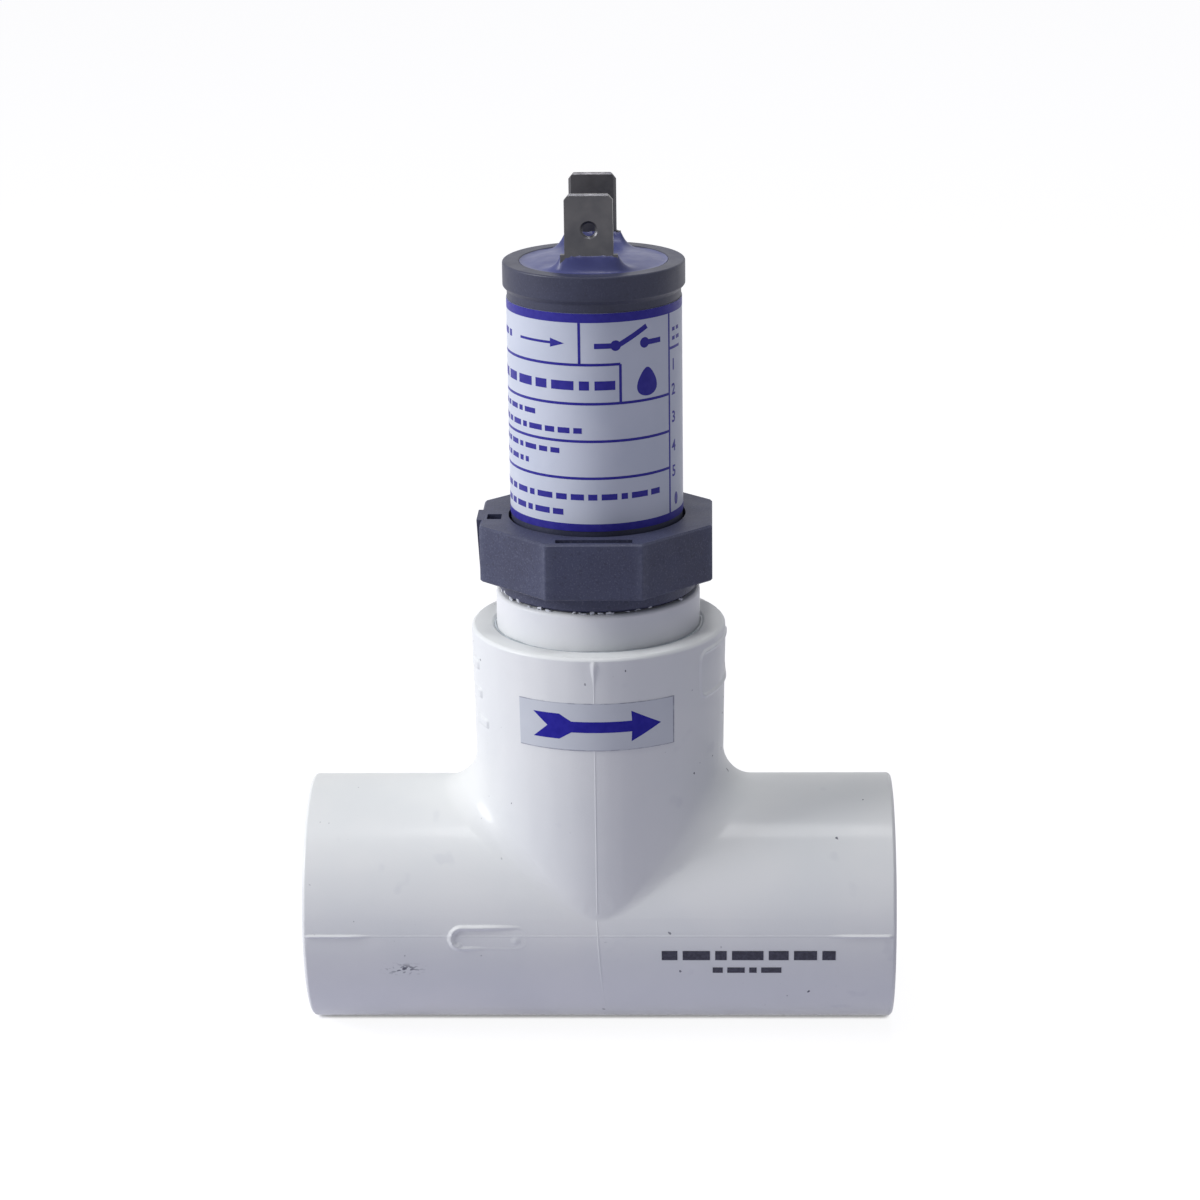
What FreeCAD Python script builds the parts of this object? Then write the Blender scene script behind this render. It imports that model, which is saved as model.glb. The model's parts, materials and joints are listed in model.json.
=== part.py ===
import FreeCAD, Part
import math
import os

# Paddle flow switch in a 3/4 inch slip tee, in millimetres.
# +X is the direction of flow, +Z runs up the branch, and the origin lies under the run, on the
# branch's axis. Heights named "above the run axis" are turned into Z by above_axis().
# The fixed pieces are the tee, the bushing and the switch. The rocker with its magnet swings on
# the pivot pin, from upright (no flow) towards +X.

Vector = FreeCAD.Vector

# ---- tee ----------------------------------------------------------------------------------------
run_radius = 16.67
tee_length = 79.4
branch_height = 39.7  # run axis to the branch's rim
branch_rim_radius = 17.07
branch_draft_deg = 0.99
run_end_chamfer = 0.35
branch_rim_chamfer = 0.35
crotch_radius = 5.0
socket_depth = 25.4
socket_radius = 13.36
mouth_chamfer = 0.9
waterway_radius = 10.45

# ---- reducer bushing and its joints -------------------------------------------------------------
collar_radius = 13.65
collar_height = 4.8  # above the branch's rim
collar_chamfer = 0.3
cement_film = 0.05
cement_bead_width = 0.55
bushing_stop_gap = 0.3
bushing_bore_radius = 8.9
bushing_thread_length = 16.5
thread_mouth_chamfer = 0.8
thread_small_radius = 9.632
thread_taper = 1.0 / 32.0  # radius gained per millimetre of height
thread_length = 15.2
thread_runout = 0.9
tape_thickness = 0.12
tape_bare_end = 3.6  # two turns of the thread

# ---- switch body --------------------------------------------------------------------------------
body_seat_gap = 0.2  # under the body's collar, filled by squeezed tape
body_collar_radius = 13.2
body_collar_height = 2.3
octagon_sides = 8
octagon_apothem = 15.35
octagon_height = 7.65
octagon_corner_round = 0.5
octagon_edge_chamfer = 0.25
stem_radius = 8.4
stem_length = 17.4  # below the thread
stem_end_chamfer = 0.6
cavity_radius = 6.3
cavity_half_width = 4.0
cavity_roof_chamfer = 0.8
partition_thickness = 1.5
dry_bore_radius = 5.2
barrel_socket_depth = 6.15
gasket_thickness = 0.8
gasket_margin = 0.4  # inside the barrel's floor, at both edges
barrel_fit = 0.03
barrel_entry_gap = 0.4
barrel_entry_depth = 1.5
front_pocket_length = 10.0
front_pocket_width = 1.5
side_pocket_length = 1.9
side_pocket_width = 2.4
side_pocket_offset = 1.8
pocket_depth = 1.0
pocket_edge_land = 0.8
pad_width = 5.0
pad_drop = 6.6
pad_top_thickness = 0.55
pad_foot_thickness = 0.2
pad_offset = 0.9

# ---- sensor barrel, label, resin and tabs -------------------------------------------------------
barrel_radius = 11.4
barrel_wall = 1.7
barrel_floor = 1.6
barrel_height = 40.5
flange_radius = 11.95
flange_height = 3.15
flange_chamfer = 0.6
flange_edge_chamfer = 0.15
label_thickness = 0.1
label_foot_gap = 0.65  # above the octagon
label_height = 28.9
label_wrap_deg = 352.0
resin_depth = 14.5
resin_sink = 0.3  # of the resin's edge below the rim
resin_crown = 1.0
resin_crown_radius = 4.2
resin_skirt_height = 1.9
resin_skirt_root = 0.6
resin_skirt_reach = 1.5
resin_skirt_lip = 0.15
tab_spacing = 15.4  # between the two tabs' middle planes
tab_offset_x = -0.3
tab_thickness = 0.8
tab_width = 6.3
tab_length = 7.85  # above the shoulders
tab_shoulder_width = 7.4
tab_shoulder_height = 2.15  # above the barrel's rim
tab_corner_x = 0.7
tab_corner_z = 0.83
tab_bevel = 0.25
tab_hole_radius = 0.85
tab_hole_countersink = 0.33
tab_hole_from_tip = 4.65
tab_leg_width = 2.6
tab_leg_length = 3.4  # below the resin
tab_root_depth = 9.0  # of the wide part in the resin

# ---- reed contact and its wiring ----------------------------------------------------------------
reed_offset_x = -1.6
reed_radius = 1.3
reed_length = 14.0
reed_wall = 0.35
reed_seal_length = 2.4
reed_end_chamfer = 0.7
reed_floor_gap = 2.3  # glass above the partition
reed_lead_radius = 0.25
reed_blade_width = 1.2
reed_blade_thickness = 0.2
reed_contact_gap = 0.12
reed_contact_overlap = 1.2
carrier_gap = 0.08
carrier_thickness = 1.2
carrier_stem_width = 7.0
carrier_head_width = 15.0
carrier_floor_gap = 0.1
carrier_step_gap = 0.5
carrier_in_resin = 2.2
carrier_corner_round = 1.0
lead_drop = 1.1  # lower lead below the glass
lead_rise = 3.0  # upper lead above the glass
lead_hole_clearance = 0.12
wire_radius = 0.55
wire_bend_radius = 3.0
wire_end_gap = 0.1
wire_turn_drop = 8.2  # below the resin, where both wires turn out to the tabs
wire_bend_steps = 3
wire_board_gap = 0.25
solder_radius = 0.78
solder_tip_radius = 0.4
solder_height = 1.1
solder_offset = 0.35
solder_film = 0.08  # between a wire and the leg beside it
solder_margin = 0.2  # past a lead's side or a wire's end

# ---- pivot, rocker and spring -------------------------------------------------------------------
pivot_from_stem_end = 4.4
pin_radius = 1.0
pin_recess = 0.3
pin_end_chamfer = 0.2
pin_clearance = 0.05
hub_radius = 2.7
hub_side_gap = 0.3
journal_length = 1.3
journal_radius = 1.6
head_height = 9.0  # above the pivot
head_half_width = 2.4
head_back = 1.8  # upstream of the pivot
head_foot = 3.4  # above the pivot, where the head widens downstream
head_round = 0.5
stop_gap = 0.3
magnet_radius = 1.5
magnet_length = 4.0
magnet_offset_x = 3.3
magnet_clearance = 0.05
cap_radius = 1.9
cap_thickness = 0.8
cap_clearance = 0.02
arm_half_width = 3.0
arm_top_thickness = 3.3
blade_tip_thickness = 1.4
blade_half_width = 6.3
blade_top = 6.4  # above the run axis
blade_corner_round = 1.6
arm_blade_round = 2.0
blade_tip_gap = 1.45  # to the waterway's wall
rib_half_width = 0.6
rib_height = 1.0
rib_top = 8.5
rib_foot = -6.0
spring_thickness = 0.12
spring_width = 1.0
spring_turns = 3
spring_pitch = 0.32
spring_journal_gap = 0.05
spring_side_gap = 0.1
spring_tab_depth = 0.35
spring_tab_clearance = 0.04
spring_leg_rise = 1.6
spring_leg_bend = 1.0
spring_tip_height = 5.2  # above the pivot
spring_tip_gap = 0.1
spring_swing_gap = 0.3

# ---- arrow sticker ------------------------------------------------------------------------------
sticker_thickness = 0.06
sticker_drop = 6.2  # below the branch's rim
sticker_height = 6.55
sticker_from_deg = -36.3
sticker_to_deg = 37.2


# ---- working allowances -------------------------------------------------------------------------
same_place = 1e-6  # points and heights closer than this are one
on_surface = 1e-3  # a point this near a wall lies on it
overrun = 1.0  # of a cutting or bedding shape past the face it crosses


# ---- places worked out from the sizes above -----------------------------------------------------
def above_axis(height):
    """Z of a height above the run axis."""
    return run_radius + height


rim_z = above_axis(branch_height)
socket_stop_z = rim_z - socket_depth
collar_top_z = rim_z + collar_height
body_collar_z = collar_top_z + body_seat_gap
thread_small_z = body_collar_z - thread_length
stem_end_z = thread_small_z - stem_length
pivot_z = stem_end_z + pivot_from_stem_end
octagon_bottom_z = body_collar_z + body_collar_height
octagon_top_z = octagon_bottom_z + octagon_height
barrel_seat_z = octagon_top_z - barrel_socket_depth
barrel_top_z = barrel_seat_z + barrel_height
barrel_floor_z = barrel_seat_z + barrel_floor
barrel_inner_radius = barrel_radius - barrel_wall
gasket_seat_z = barrel_seat_z - gasket_thickness
head_reach = cavity_radius - stop_gap
cavity_roof_z = pivot_z + math.hypot(head_reach, head_height) + stop_gap
dry_floor_z = cavity_roof_z + partition_thickness
resin_edge_z = barrel_top_z - resin_sink
resin_bottom_z = resin_edge_z - resin_depth
tab_shoulder_z = barrel_top_z + tab_shoulder_height
tab_tip_z = tab_shoulder_z + tab_length
label_bottom_z = octagon_top_z + label_foot_gap
reed_bottom_z = dry_floor_z + reed_floor_gap
reed_top_z = reed_bottom_z + reed_length
carrier_front_y = reed_radius + carrier_gap
carrier_back_y = carrier_front_y + carrier_thickness
lower_lead_z = reed_bottom_z - lead_drop
rear_wire_y = carrier_back_y + wire_board_gap + wire_radius
wire_end_z = resin_bottom_z - tab_leg_length / 2.0
tab_wire_y = tab_spacing / 2.0 - tab_thickness / 2.0 - solder_film - wire_radius
hub_start_y = hub_side_gap - cavity_half_width
hub_end_y = cavity_half_width - hub_side_gap
journal_start_y = hub_end_y - journal_length
spring_start_y = journal_start_y + spring_side_gap
spring_end_y = spring_start_y + spring_width
spring_inner_radius = journal_radius + spring_journal_gap + spring_thickness / 2.0
spring_outer_radius = spring_inner_radius + spring_turns * spring_pitch


def thread_radius_at(z):
    """Radius of the tapered thread's mean cone at a height."""
    return thread_small_radius + thread_taper * (z - thread_small_z)


def branch_radius_at(z):
    """Outside radius of the drafted branch at a height."""
    return branch_rim_radius - math.tan(math.radians(branch_draft_deg)) * (rim_z - z)


# ---- shapes that several pieces use -------------------------------------------------------------
def on_xz(u, v):
    """Point of an outline drawn on the XZ plane."""
    return Vector(u, 0.0, v)


def on_yz(u, v):
    """Point of an outline drawn on the YZ plane."""
    return Vector(0.0, u, v)


def on_run(u, v):
    """Point of an outline drawn along the run: u along X, v outwards, below the run axis."""
    return Vector(u, 0.0, run_radius - v)


def outline(corners, place, flat=False):
    """Face inside straight sides; a corner (u, v, ease) is rounded, or cut flat, by its ease."""
    count = len(corners)
    edges = []
    joints = []
    for index, corner in enumerate(corners):
        here = place(corner[0], corner[1])
        before = place(*corners[index - 1][:2])
        after = place(*corners[(index + 1) % count][:2])
        if len(corner) == 2:
            joints.append((here, here, here))
            continue
        back = (before - here).normalize()
        ahead = (after - here).normalize()
        half = back.getAngle(ahead) / 2.0
        reach = corner[2] if flat else corner[2] / math.tan(half)
        bisector = (back + ahead).normalize()
        middle = here + bisector * (corner[2] / math.sin(half) - corner[2])
        joints.append((here + back * reach, middle, here + ahead * reach))
    for index, (start, middle, end) in enumerate(joints):
        if start.distanceToPoint(end) > same_place:
            ease = Part.LineSegment(start, end) if flat else Part.Arc(start, middle, end)
            edges.append(ease.toShape())
        following = joints[(index + 1) % count][0]
        if end.distanceToPoint(following) > same_place:
            edges.append(Part.LineSegment(end, following).toShape())
    return Part.Face(Part.Wire(edges))


def turned_z(corners, degrees=360.0):
    """Solid of revolution about Z from (radius, z) corners, eased flat."""
    face = outline(corners, on_xz, flat=True)
    return face.revolve(Vector(0, 0, 0), Vector(0, 0, 1), degrees)


def turned_run(corners):
    """Solid of revolution about the run axis from (x, radius) corners, eased flat."""
    face = outline(corners, on_run, flat=True)
    return face.revolve(Vector(0, 0, run_radius), Vector(1, 0, 0), 360.0)


def cylinder_z(radius, bottom, top, x=0.0, y=0.0):
    """Upright cylinder between two heights."""
    return Part.makeCylinder(radius, top - bottom, Vector(x, y, bottom), Vector(0, 0, 1))


def cylinder_y(radius, start, end, x, z):
    """Cylinder along Y between two places."""
    return Part.makeCylinder(radius, end - start, Vector(x, start, z), Vector(0, 1, 0))


def slab(low, high):
    """Box between two opposite corners."""
    size = high - low
    return Part.makeBox(size.x, size.y, size.z, low)


def plate_xz(corners, start_y, end_y):
    """Plate from an outline on the XZ plane, between two Y places."""
    face = outline(corners, on_xz)
    face.translate(Vector(0, start_y, 0))
    return face.extrude(Vector(0, end_y - start_y, 0))


def plate_yz(corners, start_x, end_x):
    """Plate from an outline on the YZ plane, between two X places."""
    face = outline(corners, on_yz)
    face.translate(Vector(start_x, 0, 0))
    return face.extrude(Vector(end_x - start_x, 0, 0))


def path_edges(points, bend_radius):
    """Edges of straight runs joined by tangent arcs of one radius."""
    edges = []
    start = points[0]
    for index in range(1, len(points) - 1):
        corner = points[index]
        back = (points[index - 1] - corner).normalize()
        ahead = (points[index + 1] - corner).normalize()
        half = back.getAngle(ahead) / 2.0
        reach = bend_radius / math.tan(half)
        bisector = (back + ahead).normalize()
        middle = corner + bisector * (bend_radius / math.sin(half) - bend_radius)
        edges.append(Part.LineSegment(start, corner + back * reach).toShape())
        edges.append(Part.Arc(corner + back * reach, middle, corner + ahead * reach).toShape())
        start = corner + ahead * reach
    edges.append(Part.LineSegment(start, points[-1]).toShape())
    return edges


def bent_rod(points, bend_radius, steps, radius):
    """Round rod along straight runs, with each bend made of short mitred chords."""
    corners = []
    for edge in path_edges(points, bend_radius):
        parts = steps if isinstance(edge.Curve, Part.Circle) else 1
        corners += edge.discretize(parts + 1)[:-1]
    corners.append(points[-1])
    heading = corners[1] - corners[0]
    profile = Part.Wire(Part.makeCircle(radius, corners[0], heading))
    return Part.makePolygon(corners).makePipeShell([profile], True, False, 1)


# ---- tee and bushing ----------------------------------------------------------------------------
def make_tee_body():
    """Slip tee: run and drafted branch blended together, two run sockets, one branch socket."""
    end = tee_length / 2.0
    run = turned_run([
        (-end, 0.0),
        (-end, run_radius, run_end_chamfer),
        (end, run_radius, run_end_chamfer),
        (end, 0.0),
    ])
    branch = turned_z([
        (0.0, run_radius),
        (branch_radius_at(run_radius), run_radius),
        (branch_rim_radius, rim_z, branch_rim_chamfer),
        (0.0, rim_z),
    ])
    body = run.fuse(branch)
    crotch = [edge for edge in body.Edges if lies_on_crotch(edge)]
    body = body.makeFillet(crotch_radius, crotch)
    mouth = socket_radius + mouth_chamfer
    stop = end - socket_depth
    right_sides = [(end, mouth), (end - mouth_chamfer, socket_radius)]
    right_sides += [(stop, socket_radius), (stop, waterway_radius)]
    left_sides = [(-x, radius) for x, radius in right_sides]
    through = turned_run([(-end, 0.0)] + left_sides + right_sides[::-1] + [(end, 0.0)])
    upward = turned_z([
        (0.0, run_radius),
        (waterway_radius, run_radius),
        (waterway_radius, socket_stop_z),
        (socket_radius, socket_stop_z),
        (socket_radius, rim_z - mouth_chamfer),
        (mouth, rim_z),
        (0.0, rim_z),
    ])
    return body.cut(through.fuse(upward))


def lies_on_crotch(edge):
    """True for the edges where the branch's cone meets the run's cylinder."""
    middle = edge.valueAt((edge.FirstParameter + edge.LastParameter) / 2.0)
    from_run = math.hypot(middle.y, middle.z - run_radius)
    from_branch = math.hypot(middle.x, middle.y)
    on_run_wall = abs(from_run - run_radius) < on_surface
    return on_run_wall and abs(from_branch - branch_radius_at(middle.z)) < on_surface


def make_reducer_bushing():
    """Spigot bushing: collar above the rim, tapered female thread, plain bore below it."""
    bottom = socket_stop_z + bushing_stop_gap
    shoulder = rim_z - mouth_chamfer
    spigot_radius = socket_radius - cement_film
    thread_foot = collar_top_z - bushing_thread_length
    thread_mouth = collar_top_z - thread_mouth_chamfer
    thread_foot_radius = thread_radius_at(thread_foot) + tape_thickness
    thread_mouth_radius = thread_radius_at(thread_mouth) + tape_thickness
    step = thread_foot_radius - bushing_bore_radius
    return turned_z([
        (bushing_bore_radius, bottom, collar_chamfer),
        (spigot_radius, bottom, collar_chamfer),
        (spigot_radius, shoulder),
        (collar_radius, shoulder + collar_radius - spigot_radius),
        (collar_radius, collar_top_z, collar_chamfer),
        (thread_mouth_radius + thread_mouth_chamfer, collar_top_z),
        (thread_mouth_radius, thread_mouth),
        (thread_foot_radius, thread_foot),
        (bushing_bore_radius, thread_foot - step),
    ])


def make_cement_bead():
    """Bead of dried cement in the branch's mouth chamfer, round the bushing's collar."""
    foot = rim_z - mouth_chamfer + collar_radius - socket_radius
    return turned_z([
        (collar_radius, foot),
        (collar_radius + cement_bead_width, foot + cement_bead_width),
        (collar_radius, foot + 2.0 * cement_bead_width),
    ])


def make_thread_tape():
    """Sealing tape that fills the space between the two tapered threads."""
    foot = thread_small_z + tape_bare_end
    top = collar_top_z - thread_mouth_chamfer
    return turned_z([
        (thread_radius_at(foot), foot),
        (thread_radius_at(foot) + tape_thickness, foot),
        (thread_radius_at(top) + tape_thickness, top),
        (thread_radius_at(top), top),
    ])


def make_flow_arrow_sticker():
    """Thin film on the branch's front, which carries the flow arrow."""
    top = rim_z - sticker_drop
    bottom = top - sticker_height
    film = turned_z([
        (branch_radius_at(bottom), bottom),
        (branch_radius_at(bottom) + sticker_thickness, bottom),
        (branch_radius_at(top) + sticker_thickness, top),
        (branch_radius_at(top), top),
    ], sticker_to_deg - sticker_from_deg)
    film.rotate(Vector(0, 0, 0), Vector(0, 0, 1), sticker_from_deg - 90.0)
    return film


# ---- switch body --------------------------------------------------------------------------------
def make_octagon():
    """Wrench flats: an octagonal prism with rounded corners and eased edges."""
    half_side = math.pi / octagon_sides
    corner_radius = octagon_apothem / math.cos(half_side)
    corners = []
    for index in range(octagon_sides):
        angle = half_side * (2 * index + 1)
        at = (corner_radius * math.cos(angle), corner_radius * math.sin(angle))
        corners.append((at[0], at[1], octagon_corner_round))
    face = outline(corners, lambda u, v: Vector(u, v, octagon_bottom_z))
    prism = face.extrude(Vector(0, 0, octagon_height))
    level = [edge for edge in prism.Edges if edge.BoundBox.ZLength < same_place]
    return prism.makeChamfer(octagon_edge_chamfer, level)


def make_wet_cavity():
    """Space for the rocker: a round bore with two flat cheeks, open at the stem's end."""
    bore = cylinder_z(cavity_radius, stem_end_z - overrun, cavity_roof_z)
    cheeks = slab(
        Vector(-stem_radius, -cavity_half_width, stem_end_z - overrun),
        Vector(stem_radius, cavity_half_width, cavity_roof_z),
    )
    cavity = bore.common(cheeks)
    roof = [edge for edge in cavity.Edges if edge.BoundBox.ZMin > cavity_roof_z - same_place]
    return cavity.makeChamfer(cavity_roof_chamfer, roof)


def make_switch_body():
    """Wrench body: stem with clevis cheeks, tapered thread, collar, octagon, barrel socket."""
    turned = turned_z([
        (0.0, stem_end_z),
        (stem_radius, stem_end_z, stem_end_chamfer),
        (stem_radius, thread_small_z - thread_runout),
        (thread_small_radius, thread_small_z),
        (thread_radius_at(body_collar_z), body_collar_z),
        (body_collar_radius, body_collar_z, collar_chamfer),
        (body_collar_radius, octagon_bottom_z),
        (0.0, octagon_bottom_z),
    ])
    body = turned.fuse(make_octagon()).fuse(make_side_pad())
    entry_radius = barrel_radius + barrel_entry_gap
    hollow = cylinder_z(dry_bore_radius, dry_floor_z, barrel_seat_z)
    hollow = hollow.fuse(cylinder_z(barrel_radius + barrel_fit, gasket_seat_z, octagon_top_z))
    hollow = hollow.fuse(cylinder_z(entry_radius, octagon_top_z - barrel_entry_depth, octagon_top_z))
    body = body.cut(hollow).cut(make_wet_cavity())
    body = body.cut(cylinder_y(pin_radius, -stem_radius, stem_radius, 0.0, pivot_z))
    return body.cut(make_top_pockets()).removeSplitter()


def make_side_pad():
    """Wedge-shaped raised pad on the upstream wrench flat."""
    top = octagon_top_z
    foot = top - pad_drop
    return plate_xz([
        (overrun - octagon_apothem, top),
        (-octagon_apothem - pad_top_thickness, top),
        (-octagon_apothem - pad_foot_thickness, foot),
        (overrun - octagon_apothem, foot),
    ], -pad_width / 2.0 - pad_offset, pad_width / 2.0 - pad_offset)


def make_top_pockets():
    """Two shallow mould pockets in the octagon's top face."""
    floor = octagon_top_z - pocket_depth
    front_y = -octagon_apothem + pocket_edge_land
    side_x = -octagon_apothem + pocket_edge_land
    front = slab(
        Vector(-front_pocket_length / 2.0, front_y, floor),
        Vector(front_pocket_length / 2.0, front_y + front_pocket_width, octagon_top_z),
    )
    side = slab(
        Vector(side_x, -side_pocket_offset - side_pocket_width / 2.0, floor),
        Vector(side_x + side_pocket_length, side_pocket_width / 2.0 - side_pocket_offset, octagon_top_z),
    )
    return front.fuse(side)


# ---- sensor barrel ------------------------------------------------------------------------------
def make_sensor_barrel():
    """Flanged cup for the contact, with a hole in its floor over the body's dry bore."""
    neck_z = barrel_top_z - flange_height
    return turned_z([
        (dry_bore_radius, barrel_seat_z),
        (barrel_radius, barrel_seat_z, flange_edge_chamfer),
        (barrel_radius, neck_z - flange_chamfer),
        (flange_radius, neck_z),
        (flange_radius, barrel_top_z, flange_edge_chamfer),
        (barrel_inner_radius, barrel_top_z, flange_edge_chamfer),
        (barrel_inner_radius, barrel_floor_z),
        (dry_bore_radius, barrel_floor_z),
    ])


def make_barrel_gasket():
    """Flat gasket that the barrel's floor presses on its seat."""
    inner = dry_bore_radius + gasket_margin
    outer = barrel_radius - gasket_margin
    ring = cylinder_z(outer, gasket_seat_z, barrel_seat_z)
    return ring.cut(cylinder_z(inner, gasket_seat_z, barrel_seat_z))


def make_label_sleeve():
    """Printed film round the barrel, with its seam at the back."""
    top = label_bottom_z + label_height
    film = turned_z([
        (barrel_radius, label_bottom_z),
        (barrel_radius + label_thickness, label_bottom_z),
        (barrel_radius + label_thickness, top),
        (barrel_radius, top),
    ], label_wrap_deg)
    film.rotate(Vector(0, 0, 0), Vector(0, 0, 1), 90.0 + (360.0 - label_wrap_deg) / 2.0)
    return film


def make_terminal(side):
    """Spade tab with shoulders, pierced tip and a narrow leg; side is -1 front or +1 rear."""
    half = tab_width / 2.0
    shoulder = tab_shoulder_width / 2.0
    leg = tab_leg_width / 2.0
    leg_end = resin_bottom_z - tab_leg_length
    root = barrel_top_z - tab_root_depth
    right = [
        (leg, leg_end),
        (leg, root),
        (shoulder, root),
        (shoulder, tab_shoulder_z),
        (half, tab_shoulder_z),
        (half, tab_tip_z - tab_corner_z),
        (half - tab_corner_x, tab_tip_z),
    ]
    left = [(-x, z) for x, z in reversed(right)]
    middle_y = side * tab_spacing / 2.0
    plate = plate_xz(right + left, middle_y - tab_thickness / 2.0, middle_y + tab_thickness / 2.0)
    tip = [edge for edge in plate.Edges if is_tip_edge(edge)]
    plate = plate.makeChamfer(tab_bevel, tip)
    hole_z = tab_tip_z - tab_hole_from_tip
    plate = plate.cut(make_tab_hole(middle_y, hole_z))
    plate.translate(Vector(tab_offset_x, 0, 0))
    return plate


def is_tip_edge(edge):
    """True for the two long edges across a tab's tip."""
    at_tip = edge.BoundBox.ZMin > tab_tip_z - same_place
    return at_tip and edge.BoundBox.YLength < same_place


def make_tab_hole(middle_y, hole_z):
    """Detent hole with a countersink from each face."""
    sink = tab_hole_countersink
    half = tab_thickness / 2.0
    hole = cylinder_y(tab_hole_radius, middle_y - half, middle_y + half, 0.0, hole_z)
    for direction in (-1.0, 1.0):
        face = Vector(0, middle_y + direction * half, hole_z)
        inward = Vector(0, -direction, 0)
        hole = hole.fuse(Part.makeCone(tab_hole_radius + sink, tab_hole_radius, sink, face, inward))
    return hole


def make_resin_skirt(side):
    """Resin drawn up one tab: a wedge-sided frustum round its foot, rooted in the plug."""
    half_x = tab_shoulder_width / 2.0 + resin_skirt_lip
    half_y = tab_thickness / 2.0 + resin_skirt_lip
    spread = resin_skirt_reach - resin_skirt_lip
    height = resin_skirt_height + resin_skirt_root
    # a wedge narrows along its second axis, so it is made lying down and then stood up
    skirt = Part.makeWedge(
        -half_x - spread, 0.0, -half_y - spread, -half_y, -half_x,
        half_x + spread, height, half_y + spread, half_y, half_x,
    )
    skirt.rotate(Vector(0, 0, 0), Vector(1, 0, 0), 90.0)
    skirt.translate(Vector(tab_offset_x, side * tab_spacing / 2.0, resin_edge_z - resin_skirt_root))
    return skirt


def make_potting_compound(terminals, carrier):
    """Resin plug with a low crown, poured round both tabs and the carrier's top edge."""
    crown_z = resin_edge_z + resin_crown
    resin = turned_z([
        (0.0, resin_bottom_z),
        (barrel_inner_radius, resin_bottom_z),
        (barrel_inner_radius, resin_edge_z),
        (resin_crown_radius, crown_z),
        (0.0, crown_z),
    ])
    wall = cylinder_z(barrel_inner_radius, resin_bottom_z, tab_tip_z)
    for side in (-1, 1):
        resin = resin.fuse(make_resin_skirt(side).common(wall))
    for embedded in list(terminals) + [carrier]:
        resin = resin.cut(embedded)
    return resin.removeSplitter()


# ---- reed contact -------------------------------------------------------------------------------
def make_reed_carrier():
    """Strip that stands on the partition and holds the glass, with its head set in the resin."""
    stem = carrier_stem_width / 2.0
    head = carrier_head_width / 2.0
    bottom = dry_floor_z + carrier_floor_gap
    step = barrel_floor_z + carrier_step_gap
    top = resin_bottom_z + carrier_in_resin
    strip = plate_xz([
        (-stem, bottom),
        (stem, bottom),
        (stem, step),
        (head, step, carrier_corner_round),
        (head, top, carrier_corner_round),
        (-head, top, carrier_corner_round),
        (-head, step, carrier_corner_round),
        (-stem, step),
    ], carrier_front_y, carrier_back_y)
    hole_radius = reed_lead_radius + lead_hole_clearance
    hole = cylinder_y(hole_radius, carrier_front_y, carrier_back_y, reed_offset_x, lower_lead_z)
    return strip.cut(hole)


def make_reed_glass():
    """Sealed glass tube, solid at both ends round the leads."""
    inner = reed_radius - reed_wall
    glass = turned_z([
        (reed_lead_radius, reed_bottom_z),
        (reed_radius, reed_bottom_z, reed_end_chamfer),
        (reed_radius, reed_top_z, reed_end_chamfer),
        (reed_lead_radius, reed_top_z),
        (reed_lead_radius, reed_top_z - reed_seal_length),
        (inner, reed_top_z - reed_seal_length),
        (inner, reed_bottom_z + reed_seal_length),
        (reed_lead_radius, reed_bottom_z + reed_seal_length),
    ])
    glass.translate(Vector(reed_offset_x, 0, 0))
    return glass


def make_reed_blade(root_z, tip_z, face_y, thickness):
    """Flat contact tongue inside the glass, from its seal to its tip."""
    half = reed_blade_width / 2.0
    low = Vector(reed_offset_x - half, min(face_y, face_y + thickness), min(root_z, tip_z))
    high = Vector(reed_offset_x + half, max(face_y, face_y + thickness), max(root_z, tip_z))
    return slab(low, high)


def make_reed_blade_upper():
    """Upper contact: round lead above and through the glass, flat tongue below."""
    seal = reed_top_z - reed_seal_length
    middle = (reed_bottom_z + reed_top_z) / 2.0
    tip = middle - reed_contact_overlap / 2.0
    lead = cylinder_z(reed_lead_radius, seal - reed_blade_width, reed_top_z + lead_rise, reed_offset_x)
    tongue = make_reed_blade(seal, tip, reed_contact_gap / 2.0, reed_blade_thickness)
    return lead.fuse(tongue)


def make_reed_blade_lower():
    """Lower contact: flat tongue above, lead below, bent back through the carrier."""
    seal = reed_bottom_z + reed_seal_length
    middle = (reed_bottom_z + reed_top_z) / 2.0
    tip = middle + reed_contact_overlap / 2.0
    down = cylinder_z(
        reed_lead_radius, lower_lead_z - reed_lead_radius, seal + reed_blade_width, reed_offset_x
    )
    across = cylinder_y(reed_lead_radius, 0.0, rear_wire_y, reed_offset_x, lower_lead_z)
    tongue = make_reed_blade(seal, tip, -reed_contact_gap / 2.0, -reed_blade_thickness)
    return down.fuse(across).fuse(tongue)


def make_lead_wire_front():
    """Insulated wire from the upper lead to the front tab's leg."""
    turn_z = resin_bottom_z - wire_turn_drop
    return bent_rod([
        Vector(reed_offset_x, 0, reed_top_z + lead_rise + wire_end_gap),
        Vector(reed_offset_x, 0, turn_z),
        Vector(tab_offset_x, -tab_wire_y, turn_z + tab_wire_y / 2.0),
        Vector(tab_offset_x, -tab_wire_y, wire_end_z),
    ], wire_bend_radius, wire_bend_steps, wire_radius)


def make_lead_wire_rear():
    """Insulated wire from the lower lead, up the carrier's back, to the rear tab's leg."""
    turn_z = resin_bottom_z - wire_turn_drop
    return bent_rod([
        Vector(reed_offset_x, rear_wire_y, lower_lead_z + reed_lead_radius + wire_end_gap),
        Vector(reed_offset_x, rear_wire_y, turn_z),
        Vector(tab_offset_x, tab_wire_y, turn_z + tab_wire_y / 2.0),
        Vector(tab_offset_x, tab_wire_y, wire_end_z),
    ], wire_bend_radius, wire_bend_steps, wire_radius)


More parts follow.
